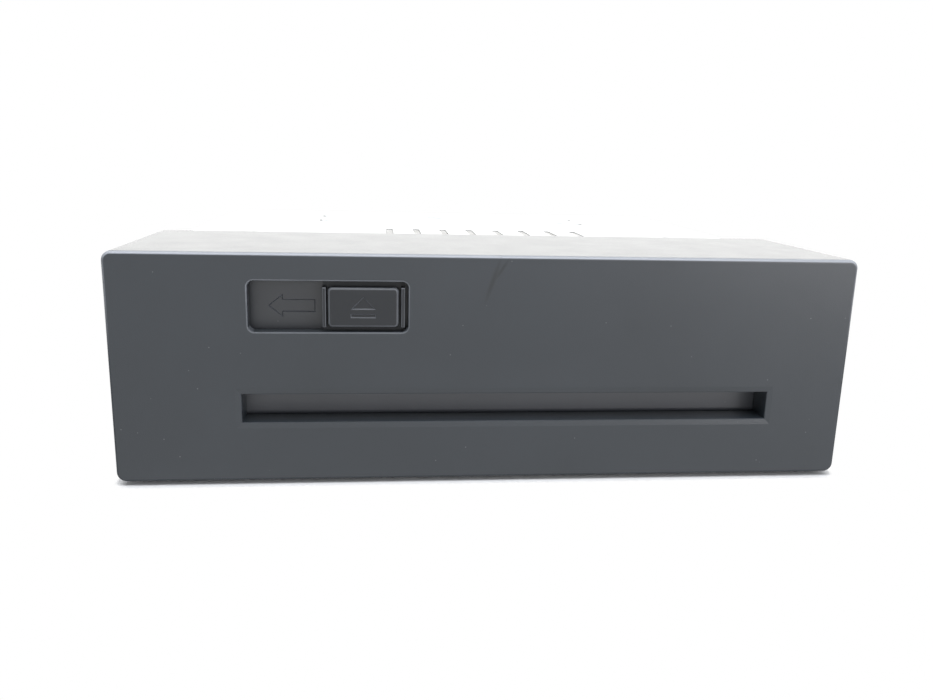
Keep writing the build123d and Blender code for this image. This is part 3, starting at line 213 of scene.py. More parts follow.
def scuff(tree, centre, length, width, lean):
    """A long soft mark on the front, leaning by some degrees: 1 in its middle, 0 outside."""
    coordinates = tree.nodes.new("ShaderNodeTexCoord")
    mapping = tree.nodes.new("ShaderNodeMapping")
    mapping.vector_type = "TEXTURE"
    mapping.inputs["Location"].default_value = [c * MM for c in centre]
    mapping.inputs["Rotation"].default_value = (0.0, math.radians(lean), 0.0)
    mapping.inputs["Scale"].default_value = (width * MM, SCUFF_DEPTH * MM, length * MM)
    ball = tree.nodes.new("ShaderNodeTexGradient")
    ball.gradient_type = "SPHERICAL"
    link(tree, coordinates.outputs["Object"], mapping.inputs["Vector"])
    link(tree, mapping.outputs["Vector"], ball.inputs["Vector"])
    return ball.outputs["Fac"]


# Height over which the painted edge highlight fades in, and the band at the hood's top edge that is painted
# pale as a highlight
HIGHLIGHT_FADE = 14.0
CROWN_HIGHLIGHT_BAND = (CROWN - 2.5, CROWN - 0.5)


def moulded_plastic(
    name, colour, roughness, grain, dust=0.35, highlight_strength=0.5, specular=0.75, highlight_from=-20.0, marks=()
):
    """Injection-moulded plastic: fine spark grain, uneven sheen, dust, and a painted highlight on its rounded
    edges, patchy above a given height and full in a band at the height of the hood's top edge.
    """
    material, tree, shader = new_material(name, colour, 0.0, roughness, specular)
    place = object_place(tree)
    cloud = noise(tree, place, 35.0, 4.0)
    lighter = tuple(min(1.0, c * 1.5 + 0.004) for c in colour)
    base = blend_colours(tree, ramp(tree, cloud, 0.3, 0.75, 0.0, 0.3), colour, lighter)
    patchy = ramp(tree, noise(tree, place, 140.0, 3.0), 0.25, 0.6, 0.6, 1.0)
    rounded = rounded_edges(tree)
    upper = height_above(tree, place, highlight_from, highlight_from + HIGHLIGHT_FADE)
    # Painted highlight: the rounded edges are blended towards a pale colour to stand for the light they
    # catch, patchy above a height and full at the hood's top edge
    upper_highlight = calculate(tree, "MULTIPLY", calculate(tree, "MULTIPLY", patchy, upper), 0.4)
    crown_highlight = height_above(tree, place, *CROWN_HIGHLIGHT_BAND)
    edge = calculate(tree, "MULTIPLY", rounded, calculate(tree, "MAXIMUM", upper_highlight, crown_highlight))
    base = blend_colours(tree, calculate(tree, "MULTIPLY", edge, highlight_strength), base, EDGE_HIGHLIGHT)
    for centre, length, width, lean in marks:
        faint = ramp(tree, scuff(tree, centre, length, width, lean), 0.0, 0.7, 0.0, 0.75)
        base = blend_colours(tree, faint, base, tuple(c * 0.3 for c in colour))
    motes = calculate(tree, "MULTIPLY", specks(tree, place, 260.0, 0.045), dust)
    base = blend_colours(tree, motes, base, MOTES)
    link(tree, base, shader.inputs["Base Color"])
    sheen = noise(tree, place, 120.0, 5.0, 0.6)
    gloss = ramp(tree, sheen, 0.25, 0.75, roughness - 0.015, roughness + 0.025)
    matt = calculate(tree, "MULTIPLY", calculate(tree, "SUBTRACT", rounded, upper), 0.5)
    matt = calculate(tree, "MAXIMUM", matt, 0.0)
    link(tree, calculate(tree, "ADD", gloss, matt), shader.inputs["Roughness"])
    fine = noise(tree, place, grain, 2.0, 0.6)
    link(tree, bump(tree, fine, 0.04 * MM, 0.5), shader.inputs["Normal"])
    return material


def plated_sheet(name, colour, roughness, grain):
    """Zinc-plated rolled sheet: faint rolling lines, mottled plating and finger smudges."""
    material, tree, shader = new_material(name, colour, 1.0, roughness)
    rolled = object_place(tree, grain)
    place = object_place(tree)
    lines = noise(tree, rolled, 900.0, 3.0)
    mottle = noise(tree, place, 60.0, 5.0, 0.6)
    duller = tuple(c * 0.86 for c in colour)
    base = blend_colours(tree, ramp(tree, mottle, 0.35, 0.7), colour, duller)
    fingers = ramp(tree, noise(tree, place, 28.0, 2.0), 0.55, 0.75, 0.0, 0.35)
    base = blend_colours(tree, fingers, base, tuple(c * 0.88 for c in colour))
    edge = calculate(tree, "MULTIPLY", worn_edges(tree, 0.3 * MM), 0.5)
    base = blend_colours(tree, edge, base, tuple(min(1.0, c * 1.25) for c in colour))
    link(tree, base, shader.inputs["Base Color"])
    rough = ramp(tree, mottle, 0.3, 0.75, roughness - 0.03, roughness + 0.06)
    rough = calculate(tree, "ADD", rough, calculate(tree, "MULTIPLY", fingers, 0.12))
    link(tree, rough, shader.inputs["Roughness"])
    surface = bump(tree, lines, 0.03 * MM, 0.35)
    link(tree, bump(tree, mottle, 0.1 * MM, 0.12, surface), shader.inputs["Normal"])
    return material


def turned_metal(name, colour, roughness):
    """Small drawn or turned metal parts, faintly stained."""
    material, tree, shader = new_material(name, colour, 1.0, roughness)
    place = object_place(tree)
    stain = noise(tree, place, 300.0, 4.0)
    base = blend_colours(tree, ramp(tree, stain, 0.4, 0.75), colour, tuple(c * 0.72 for c in colour))
    link(tree, base, shader.inputs["Base Color"])
    link(tree, ramp(tree, stain, 0.3, 0.7, roughness - 0.05, roughness + 0.1), shader.inputs["Roughness"])
    link(tree, bump(tree, noise(tree, place, 2500.0, 2.0), 0.02 * MM, 0.4), shader.inputs["Normal"])
    return material


def plain_plastic(name, colour, roughness):
    """Plastic of small and inner parts: a slightly cloudy colour and a fine grain."""
    material, tree, shader = new_material(name, colour, 0.0, roughness)
    place = object_place(tree)
    cloud = noise(tree, place, 90.0, 4.0)
    lighter = tuple(min(1.0, c * 1.25 + 0.003) for c in colour)
    base = blend_colours(tree, ramp(tree, cloud, 0.35, 0.7), colour, lighter)
    link(tree, base, shader.inputs["Base Color"])
    link(tree, ramp(tree, cloud, 0.3, 0.7, roughness - 0.04, roughness + 0.07), shader.inputs["Roughness"])
    link(tree, bump(tree, noise(tree, place, 3000.0, 2.0), 0.03 * MM, 0.4), shader.inputs["Normal"])
    return material


def rubber_skin(name, colour):
    """Matt rubber with a powdery bloom."""
    material, tree, shader = new_material(name, colour, 0.0, 0.75, 0.35)
    place = object_place(tree)
    powder = noise(tree, place, 400.0, 5.0, 0.65)
    base = blend_colours(tree, ramp(tree, powder, 0.5, 0.8, 0.0, 0.6), colour, RUBBER_BLOOM)
    link(tree, base, shader.inputs["Base Color"])
    link(tree, bump(tree, powder, 0.08 * MM, 0.5), shader.inputs["Normal"])
    return material


def circuit_board(name, colour):
    """Solder mask with lighter copper tracks under it."""
    material, tree, shader = new_material(name, colour, 0.0, 0.35)
    place = object_place(tree)
    brick = tree.nodes.new("ShaderNodeTexBrick")
    brick.inputs["Scale"].default_value = 60.0
    brick.inputs["Mortar Size"].default_value = 0.012
    brick.inputs["Color1"].default_value = (0.0, 0.0, 0.0, 1.0)
    brick.inputs["Color2"].default_value = (0.35, 0.35, 0.35, 1.0)
    brick.inputs["Mortar"].default_value = (1.0, 1.0, 1.0, 1.0)
    link(tree, place, brick.inputs["Vector"])
    tracks = ramp(tree, brick.outputs["Color"], 0.0, 1.0, 0.0, 0.6)
    link(tree, blend_colours(tree, tracks, colour, COPPER_UNDER_MASK), shader.inputs["Base Color"])
    link(tree, bump(tree, tracks, 0.03 * MM, 0.5), shader.inputs["Normal"])
    return material


def felt_cloth(name, colour):
    """Pale non-woven cloth: matted fibres and grey dust."""
    material, tree, shader = new_material(name, colour, 0.0, 0.9, 0.2)
    place = object_place(tree)
    fibre = noise(tree, object_place(tree, (1.0, 0.25, 1.0)), 2600.0, 4.0, 0.7)
    dust = noise(tree, place, 180.0, 4.0, 0.6)
    darker = tuple(c * 0.7 for c in colour)
    base = blend_colours(tree, ramp(tree, fibre, 0.35, 0.65, 0.0, 0.5), colour, darker)
    base = blend_colours(tree, ramp(tree, dust, 0.5, 0.75, 0.0, 0.4), base, CLOTH_DUST)
    link(tree, base, shader.inputs["Base Color"])
    link(tree, bump(tree, fibre, 0.15 * MM, 0.8), shader.inputs["Normal"])
    return material


def clear_lens(name):
    """Polished clear lens, with a faint blue coating."""
    material, _, shader = new_material(name, (0.75, 0.85, 1.0), 0.0, 0.03)
    shader.inputs["Transmission Weight"].default_value = 0.9
    return material


def dress(material, *names):
    """Gives CAD nodes their finish."""
    for name in names:
        mesh = nodes[name].data
        mesh.materials.clear()
        mesh.materials.append(material)


# Soft marks near the face's top edge: each one's centre, length, width and lean in degrees
SCUFFS = (((-0.9, FACE, 50.4), 6.5, 0.7, 18.0), ((1.2, FACE, 53.2), 3.5, 0.5, 32.0))

# The hood gets the full painted edge highlight, the other plastics a weaker one or none
hood_plastic = moulded_plastic(
    "hood_plastic", (0.0175, 0.023, 0.0295), 0.31, grain=5200.0, highlight_strength=1.0, highlight_from=32.0, marks=SCUFFS
)
floor_plastic = moulded_plastic("floor_plastic", (0.022, 0.025, 0.03), 0.36, grain=6000.0, dust=0.2, highlight_strength=0.3)
flap_plastic = moulded_plastic("flap_plastic", (0.052, 0.056, 0.064), 0.36, grain=6000.0, dust=0.2, highlight_strength=0.0)
pad_plastic = moulded_plastic(
    "pad_plastic", (0.01, 0.012, 0.015), 0.42, grain=7000.0, dust=0.25, highlight_strength=0.6, specular=0.5
)
key_plastic = moulded_plastic("key_plastic", (0.02, 0.02, 0.022), 0.4, grain=6000.0, dust=0.2, highlight_strength=0.4)
case_steel = plated_sheet("case_steel", (0.5, 0.51, 0.515), 0.36, grain=(0.03, 1.0, 1.0))
mech_steel = plated_sheet("mech_steel", (0.44, 0.45, 0.46), 0.4, grain=(1.0, 0.05, 1.0))
screw_steel = turned_metal("screw_steel", (0.55, 0.55, 0.54), 0.32)
ground_steel = turned_metal("ground_steel", (0.72, 0.72, 0.73), 0.15)
motor_can = turned_metal("motor_can", (0.62, 0.62, 0.61), 0.3)
sink_aluminium = turned_metal("sink_aluminium", (0.72, 0.73, 0.74), 0.4)
pin_metal = turned_metal("pin_metal", (0.78, 0.66, 0.38), 0.25)
black_plastic = plain_plastic("black_plastic", (0.018, 0.018, 0.02), 0.45)
gear_nylon = plain_plastic("gear_nylon", (0.72, 0.7, 0.62), 0.5)
cable_film = plain_plastic("cable_film", (0.5, 0.27, 0.07), 0.3)
rubber = rubber_skin("rubber", (0.022, 0.022, 0.022))
board_mask = circuit_board("board_mask", (0.02, 0.14, 0.06))
lens_glass = clear_lens("lens_glass")
insulator_white = plain_plastic("insulator_white", (0.75, 0.74, 0.7), 0.4)
dust_felt = felt_cloth("dust_felt", (0.78, 0.77, 0.74))

dress(hood_plastic, "front_bezel")
dress(floor_plastic, "arrow_plate")
dress(flap_plastic, "shutter_flap")
dress(pad_plastic, "push_pad", "release_slide")
dress(key_plastic, "eject_key", "switch_plunger")
dress(case_steel, "bottom_case", "top_cover", "rear_panel", "mid_plate")
dress(mech_steel, "mech_base", "mech_top_guide", "traverse_plate", "clamp_arm", "roller_arm", "gear_plate")
dress(screw_steel, "bezel_screws", "cover_screws", "rear_screws", "rear_stud")
dress(screw_steel, "chassis_screws", "board_screws")
dress(ground_steel, "guide_rods", "lead_screw", "roller_shaft")
dress(ground_steel, "pad_springs", "flap_spring", "clamp_springs")
dress(motor_can, "feed_motor", "loading_motor", "spindle_motor")
dress(sink_aluminium, "heat_sink", "capacitors", "shield_can")
dress(pin_metal, "connector_pins", "antenna_jack")
dress(black_plastic, "fan_frame", "fan_rotor", "eject_switch", "power_connector", "display_connector")
dress(black_plastic, "board_chips", "pickup_sled", "lens_holder", "clamper", "turntable")
dress(gear_nylon, "roller_gear", "idler_gear", "compound_gear", "motor_pinion", "cam_plate")
dress(cable_film, "ribbon_cable")
dress(rubber, "rubber_feet", "dampers", "roller_sleeves")
dress(board_mask, "front_board", "main_board", "servo_board")
dress(lens_glass, "objective_lens")


# Shaping, in edit mode on the piece just added
def start_shaping(piece, name):
    """Names a new primitive and leaves it unturned and unscaled, with nothing selected."""
    piece.name = name
    piece.data.name = name
    bpy.ops.object.transform_apply(location=True, rotation=True, scale=True)
    bpy.ops.object.mode_set(mode="EDIT")
    bpy.ops.mesh.select_all(action="DESELECT")
    bpy.ops.object.mode_set(mode="OBJECT")


def pick(piece, faces=None, edges=None):
    """Selects the faces or edges that a test holds for, and leaves the piece in edit mode."""
    mesh = piece.data
    for polygon in mesh.polygons:
        polygon.select = bool(faces and faces(polygon))
    for edge in mesh.edges:
        ends = [mesh.vertices[index].co for index in edge.vertices]
        edge.select = bool(edges and edges(*ends))
    for vertex in mesh.vertices:
        vertex.select = False
    bpy.context.tool_settings.mesh_select_mode = (False, edges is not None, faces is not None)
    bpy.ops.object.mode_set(mode="EDIT")


def make_active(piece):
    """Selects one piece alone."""
    bpy.ops.object.select_all(action="DESELECT")
    piece.select_set(True)
    bpy.context.view_layer.objects.active = piece


def finish_shaping(piece, material, body, sharp=35.0):
    """Smooths a piece up to an angle in degrees, and gives it its material and body."""
    if piece.mode == "EDIT":
        bpy.ops.object.mode_set(mode="OBJECT")
    make_active(piece)
    bpy.ops.object.shade_smooth_by_angle(angle=math.radians(sharp))
    piece.data.materials.clear()
    piece.data.materials.append(material)
    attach(piece, body)
    return piece


def block(name, low, high):
    """A cube primitive between two corners, ready to shape."""
    low, high = Vector(low) * MM, Vector(high) * MM
    bpy.ops.object.select_all(action="DESELECT")
    bpy.ops.mesh.primitive_cube_add(size=1.0, location=(low + high) / 2, scale=high - low)
    piece = bpy.context.active_object
    start_shaping(piece, name)
    return piece


def along(axis):
    """A test for edges that run along one axis."""
    return lambda a, b: abs((b - a).normalized()[axis]) > 0.99


def round_off(piece, edges, width, segments):
    """Rounds the edges that a test holds for."""
    pick(piece, edges=edges)
    bpy.ops.mesh.bevel(offset=width * MM, segments=segments, affect="EDGES")
    bpy.ops.object.mode_set(mode="OBJECT")


# Two points nearer than this, in metres, are one
SAME_PLACE = 0.001 * MM

# The way that parts on the back panel point
BACKWARD = (0, 1, 0)


def stamped_rib(name, low, high, axis, outward):
    """A rib pressed out of sheet metal: round ends, and a soft shoulder down to the sheet."""
    rib = block(name, low, high)
    size = [abs(b - a) for a, b in zip(low, high)]
    flat = [size[i] for i in range(3) if i != axis]
    round_off(rib, along(axis), min(flat) * 0.499, 8)
    top = (high if outward > 0 else low)[axis] * MM
    shoulder = size[axis] * 0.8
    round_off(rib, lambda a, b: all(abs(end[axis] - top) < SAME_PLACE for end in (a, b)), shoulder, 4)
    return rib


def joined(pieces, name):
    """Several finished meshes as one piece."""
    bpy.ops.object.select_all(action="DESELECT")
    for piece in pieces:
        piece.select_set(True)
    bpy.context.view_layer.objects.active = pieces[0]
    if len(pieces) > 1:
        bpy.ops.object.join()
    pieces[0].name = name
    pieces[0].data.name = name
    return pieces[0]


def placed_copy(model, place, outward, turn=0.0):
    """A copy of a part modelled at the origin pointing up, set at place and pointing outward."""
    copy = bpy.data.objects.new(model.name, model.data.copy())
    bpy.context.scene.collection.objects.link(copy)
    aim = Vector(outward).to_track_quat("Z", "Y").to_matrix().to_4x4()
    copy.data.transform(Matrix.Translation(Vector(place) * MM) @ aim @ Matrix.Rotation(turn, 4, "Z"))
    return copy


def set_in_place(model, place, outward):
    """A single part modelled at the origin, moved to its place under its own name."""
    name = model.name
    piece = placed_copy(model, place, outward)
    bpy.data.objects.remove(model)
    piece.name = name
    return piece


def cut_away(piece, cutter):
    """Cuts the cutter's shape out of a piece, and removes the cutter."""
    make_active(piece)
    boolean = piece.modifiers.new("cut", "BOOLEAN")
    boolean.operation = "DIFFERENCE"
    boolean.solver = "EXACT"
    boolean.object = cutter
    bpy.ops.object.modifier_apply(modifier="cut")
    bpy.data.objects.remove(cutter)


def turned(name, rings, segments=32):
    """A part turned on a lathe, from rings of (radius, height), at the origin pointing up."""
    radius, height = rings[0]
    bpy.ops.object.select_all(action="DESELECT")
    bpy.ops.mesh.primitive_circle_add(
        vertices=segments, radius=radius * MM, fill_type="NGON", location=(0.0, 0.0, height * MM)
    )
    piece = bpy.context.active_object
    start_shaping(piece, name)
    pick(piece, faces=lambda face: True)
    for next_radius, next_height in rings[1:]:
        rise = (next_height - height) * MM
        bpy.ops.mesh.extrude_region_move(TRANSFORM_OT_translate={"value": (0.0, 0.0, rise)})
        grow = next_radius / radius
        bpy.ops.transform.resize(value=(grow, grow, 1.0), center_override=(0.0, 0.0, next_height * MM))
        radius, height = next_radius, next_height
    bpy.ops.mesh.select_all(action="SELECT")
    bpy.ops.mesh.normals_make_consistent(inside=False)
    bpy.ops.object.mode_set(mode="OBJECT")
    return piece


def thread_rings(core, crest, low, high, pitch):
    """Rings for a screw thread between two heights."""
    rings = []
    turns = int((high - low) / pitch)
    for turn in range(turns):
        z = low + turn * pitch
        rings += [(core, z), (crest, z + pitch * 0.4), (crest, z + pitch * 0.6)]
    return rings + [(core, low + turns * pitch)]


# Screws, in millimetres: an M3 thread between a neck and a blunt tip, each with its radius and length
SCREW_CORE = 1.2
SCREW_CREST = 1.5
SCREW_PITCH = 0.5
SHANK = 5.5
NECK_RADIUS = 1.45
NECK_LENGTH = 0.5
TIP_RADIUS = 0.8
TIP_LENGTH = 0.4

# Cross recess: its depth, the width of an arm and the taper to the bottom as shares, and the turn, in
# radians, from one screw of a set to the next
RECESS_DEPTH = 0.95
RECESS_ARM = 0.25
RECESS_TAPER = 0.5
RECESS_TURN = 1.1


def cross_head_screw(name, head, recess):
    """A screw with the given head rings above 0, a threaded shank below and a cross recess."""
    top = head[-1][1]
    tip = [(TIP_RADIUS, -SHANK - TIP_LENGTH)]
    thread = thread_rings(SCREW_CORE, SCREW_CREST, -SHANK, -NECK_LENGTH, SCREW_PITCH)
    piece = turned(name, tip + thread + [(NECK_RADIUS, 0.0)] + head)
    arm = recess / 2
    for half_x, half_y in ((arm, arm * RECESS_ARM), (arm * RECESS_ARM, arm)):
        bar = block("recess", (-half_x, -half_y, top - RECESS_DEPTH), (half_x, half_y, top + 0.3))
        pick(bar, faces=lambda face: face.normal.z < -0.9)
        taper = (RECESS_TAPER, RECESS_TAPER, 1.0)
        bpy.ops.transform.resize(value=taper, center_override=(0.0, 0.0, 0.0))
        bpy.ops.object.mode_set(mode="OBJECT")
        cut_away(piece, bar)
    return piece


def screw_set(name, model, places, node):
    """Copies of one screw that stand for a CAD node's plain ones, each with its recess turned another way."""
    copies = []
    for count, (place, outward) in enumerate(places):
        copies.append(placed_copy(model, place, outward, turn=count * RECESS_TURN))
    piece = finish_shaping(joined(copies, name), screw_steel, "chassis", 40.0)
    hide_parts(node)


# Sizes and places from here to the studio are in millimetres, and heights are from the floor

# The row of slots in the cover
SLOT_COUNT = 8
SLOT_PITCH = 8.95
SLOT_ROW_X = 7.1
SLOT_FRONT = -21.2
SLOT_BACK = 4.2

# Pale dust cloth glued under the cover's slots, and pressed up into them
CLOTH_HALF = 36.1
CLOTH_MARGIN = 2.3
CLOTH_LOW = 52.3
CLOTH_TOP = 52.9
CLOTH_CORNER = 2.0
CLOTH_HEM = 0.8
STRIP_HALF = 1.0
STRIP_ROOT = 0.2
STRIP_SUNK = 0.25
cloth = block(
    "dust_cloth",
    (SLOT_ROW_X - CLOTH_HALF, SLOT_FRONT - CLOTH_MARGIN, CLOTH_LOW),
    (SLOT_ROW_X + CLOTH_HALF, SLOT_BACK + CLOTH_MARGIN, CLOTH_TOP),
)
round_off(cloth, along(2), CLOTH_CORNER, 4)
pick(cloth, faces=lambda face: abs(face.normal.z) > 0.9)
bpy.ops.mesh.inset(thickness=CLOTH_HEM * MM, depth=0.0)
bpy.ops.object.mode_set(mode="OBJECT")
strips = [cloth]
for slot_number in range(SLOT_COUNT):
    x = SLOT_ROW_X + (slot_number - (SLOT_COUNT - 1) / 2) * SLOT_PITCH
    low = (x - STRIP_HALF, SLOT_FRONT, CLOTH_TOP - STRIP_ROOT)
    strip = block("felt_strip", low, (x + STRIP_HALF, SLOT_BACK, COVER_TOP - STRIP_SUNK))
    round_off(strip, along(2), STRIP_HALF - 0.05, 5)
    strips.append(strip)
finish_shaping(joined(strips, "dust_cloth"), dust_felt, "chassis")

# Ribs pressed into the cover and the case walls to stiffen them, rooted a little inside the sheet.
# A rib on the cover is given by its left, right, front and back.
RIB_RISE = 0.5
RIB_ROOT = 0.2
COVER_RIBS = (
    (-72.0, -67.0, -18.0, 62.0),
    (67.0, 72.0, -18.0, 62.0),
    (-50.0, 50.0, 34.0, 38.0),
    (-50.0, 50.0, 54.0, 58.0),
)
WALL_RIB_FRONT = -2.0
WALL_RIB_BACK = 34.0
WALL_RIB_HEIGHTS = (20.0, 32.0)
WALL_RIB_HALF = 2.0
stiffeners = []
for left, right, front, back in COVER_RIBS:
    low = (left, front, COVER_TOP - RIB_ROOT)
    high = (right, back, COVER_TOP + RIB_RISE)
    stiffeners.append(stamped_rib("cover_rib", low, high, axis=2, outward=1))
for side in (-1, 1):
    for z in WALL_RIB_HEIGHTS:
        near, far = sorted((side * (CASE_SIDE - RIB_ROOT), side * (CASE_SIDE + RIB_RISE)))
        low = (near, WALL_RIB_FRONT, z - WALL_RIB_HALF)
        high = (far, WALL_RIB_BACK, z + WALL_RIB_HALF)
        stiffeners.append(stamped_rib("wall_rib", low, high, axis=0, outward=side))
finish_shaping(joined(stiffeners, "stiffening_ribs"), case_steel, "chassis", 30.0)

# Pad springs: the CAD springs' own shape, on a piece that rides with the release slide. They stand on the
# slider's front face.
coils = nodes["pad_springs"].copy()
coils.data = nodes["pad_springs"].data.copy()
bpy.context.scene.collection.objects.link(coils)
coils.name = "pad_coils"
make_active(coils)
bpy.ops.object.mode_set(mode="EDIT")
bpy.ops.mesh.select_all(action="SELECT")
bpy.ops.mesh.remove_doubles(threshold=SAME_PLACE)
finish_shaping(coils, ground_steel, "release_slide", 40.0)
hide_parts("pad_springs")
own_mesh(coils)

# Heads of the screws, as rings of (radius, height): domed, and flat to sit in the hood's sides
PAN_HEAD = [(2.7, 0.0), (2.7, 0.5), (2.55, 0.95), (2.1, 1.3), (1.3, 1.5)]
FLAT_HEAD = [(2.75, 0.0), (2.75, 0.8), (2.6, 0.98)]
FLAT_SEAT = HOOD_SIDE - 1.0

# Places of the screws
COVER_SCREWS_Y = (-30.0, 60.0)
COVER_SCREWS_Z = 49.1
HOOD_SCREWS_Y = -60.0
HOOD_SCREWS_Z = (13.1, 25.1)
PANEL_SCREWS_X = 81.0
PANEL_SCREWS_Z = (11.1, 46.1)
FAN_X = 50.0
FAN_Z = 29.1
FAN_SCREWS_REACH = 16.0

pan_screw = cross_head_screw("pan_screw", PAN_HEAD, recess=2.9)
flat_screw = cross_head_screw("flat_screw", FLAT_HEAD, recess=2.7)
cover_places = []
hood_places = []
panel_places = []
for side in (-1, 1):
    outward = (side, 0, 0)
    fan_screw_x = FAN_X + side * FAN_SCREWS_REACH
    cover_places += [((side * COVER_SIDE, y, COVER_SCREWS_Z), outward) for y in COVER_SCREWS_Y]
    hood_places += [((side * FLAT_SEAT, HOOD_SCREWS_Y, z), outward) for z in HOOD_SCREWS_Z]
    panel_places += [((side * PANEL_SCREWS_X, PANEL_BACK, z), BACKWARD) for z in PANEL_SCREWS_Z]
    for z in (FAN_Z - FAN_SCREWS_REACH, FAN_Z + FAN_SCREWS_REACH):
        panel_places.append(((fan_screw_x, PANEL_BACK, z), BACKWARD))
screw_set("cover_screw_set", pan_screw, cover_places, "cover_screws")
screw_set("hood_screw_set", flat_screw, hood_places, "bezel_screws")
screw_set("panel_screw_set", pan_screw, panel_places, "rear_screws")
for model in (pan_screw, flat_screw):
    bpy.data.objects.remove(model)

# Mounting stud on the back, with its pressed collar and its thread
STUD_Z = 19.1
STUD_COLLAR = [(4.5, 0.0), (4.5, 0.9), (4.2, 1.2), (2.6, 1.2), (2.3, 1.6)]
STUD_END = [(1.9, 10.99)]
thread = thread_rings(core=2.1, crest=2.5, low=1.8, high=10.2, pitch=0.8)
stud_model = turned("threaded_stud", STUD_COLLAR + thread + STUD_END)
stud = set_in_place(stud_model, (0.0, PANEL_BACK, STUD_Z), BACKWARD)
finish_shaping(stud, screw_steel, "chassis", 40.0)
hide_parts("rear_stud")

# Round rim pressed up round the fan's holes, lower than it is wide
RIM_RADIUS = 19.1
RIM_ROUND = 0.75
RIM_FLATTENED = 0.7
bpy.ops.object.select_all(action="DESELECT")
bpy.ops.mesh.primitive_torus_add(
    major_segments=72, minor_segments=12, major_radius=RIM_RADIUS * MM, minor_radius=RIM_ROUND * MM
)
rim_model = bpy.context.active_object
start_shaping(rim_model, "fan_rim")
pick(rim_model, faces=lambda face: True)
bpy.ops.transform.resize(value=(1.0, 1.0, RIM_FLATTENED), center_override=(0.0, 0.0, 0.0))
bpy.ops.object.mode_set(mode="OBJECT")
rim = set_in_place(rim_model, (FAN_X, PANEL_BACK, FAN_Z), BACKWARD)
finish_shaping(rim, case_steel, "chassis")

# Aerial jack: a threaded collar on the barrel, and a pale insulator round the centre pin
JACK_X = 2.0
JACK_Z = 46.1
COLLAR_START = 79.0
COLLAR_FOOT = [(3.3, 0.0), (3.62, 0.0)]
COLLAR_END = [(3.62, 4.3), (3.3, 4.3)]
COLLAR_LAND = 0.45
INSULATOR_START = 72.2
INSULATOR = [(2.6, 0.0), (2.6, 6.4), (2.4, 6.6), (1.1, 6.6), (1.0, 6.3), (0.55, 6.3)]
thread = thread_rings(core=3.62, crest=3.9, low=0.2, high=4.0, pitch=0.75)
collar_model = turned("jack_thread", COLLAR_FOOT + thread + COLLAR_END, segments=40)

# The collar is bored through between its two end faces, the only ones with many corners
pick(collar_model, faces=lambda face: len(face.vertices) > 4)
bpy.ops.mesh.inset(thickness=COLLAR_LAND * MM, depth=0.0)
bpy.ops.mesh.bridge_edge_loops()
bpy.ops.object.mode_set(mode="OBJECT")
collar = set_in_place(collar_model, (JACK_X, COLLAR_START, JACK_Z), BACKWARD)
finish_shaping(collar, pin_metal, "chassis", 30.0)
insulator_model = turned("jack_insulator", INSULATOR)
insulator = set_in_place(insulator_model, (JACK_X, INSULATOR_START, JACK_Z), BACKWARD)
finish_shaping(insulator, insulator_white, "chassis", 30.0)

# Sockets: keying ribs inside, and a latch step and guide ribs on the shell's top
SHELL_FLOOR = 42.2
SHELL_TOP = 51.6
SETBACK = 0.4
KEY_INSET = 6.0
KEY_FRONT = 66.0
KEY_WIDTH = 1.2
KEY_HEIGHT = 0.9
LATCH_FRONT = 77.6
LATCH_HALF = 2.6
LATCH_HEIGHT = 0.9
GUIDE_INSET = 2.0
GUIDE_FRONT = 77.2
GUIDE_WIDTH = 1.0
GUIDE_HEIGHT = 0.5
socket_ribs = []
for socket in ("power_connector", "display_connector"):
    (left, _, _), (right, back, _) = limits(socket)
    back -= SETBACK
    middle = (left + right) / 2
    for x in (left + KEY_INSET, right - KEY_INSET - KEY_WIDTH):
        high = (x + KEY_WIDTH, back, SHELL_FLOOR + KEY_HEIGHT)
        socket_ribs.append(block("key_rib", (x, KEY_FRONT, SHELL_FLOOR), high))
    low = (middle - LATCH_HALF, LATCH_FRONT, SHELL_TOP)
    high = (middle + LATCH_HALF, back - SETBACK, SHELL_TOP + LATCH_HEIGHT)
    socket_ribs.append(block("latch_step", low, high))
    for x in (left + GUIDE_INSET, right - GUIDE_INSET - GUIDE_WIDTH):
        high = (x + GUIDE_WIDTH, back, SHELL_TOP + GUIDE_HEIGHT)
        socket_ribs.append(block("guide_rib", (x, GUIDE_FRONT, SHELL_TOP), high))
for rib in socket_ribs:
    round_off(rib, lambda a, b: True, 0.18, 2)
finish_shaping(joined(socket_ribs, "socket_ribs"), black_plastic, "chassis", 30.0)


# Studio
def area_light(name, place, target, size, radiance, colour):
    """A rectangular lamp of a given brightness, aimed at target, in metres."""
    data = bpy.data.lights.new(name, "AREA")
    data.shape = "RECTANGLE"
    data.size, data.size_y = size
    data.energy = radiance * math.pi * size[0] * size[1]
    data.color = colour
    lamp = bpy.data.objects.new(name, data)
    bpy.context.scene.collection.objects.link(lamp)
    lamp.location = place
    lamp.rotation_euler = (Vector(target) - Vector(place)).to_track_quat("-Z", "Y").to_euler()


def white_where_seen(tree):
    """1 for rays from the camera and for those that metal and glass send on, 0 for rays that light things."""
    path = tree.nodes.new("ShaderNodeLightPath")
    seen = calculate(tree, "MAXIMUM", path.outputs["Is Camera Ray"], path.outputs["Is Glossy Ray"])
    return calculate(tree, "MAXIMUM", seen, path.outputs["Is Transmission Ray"])


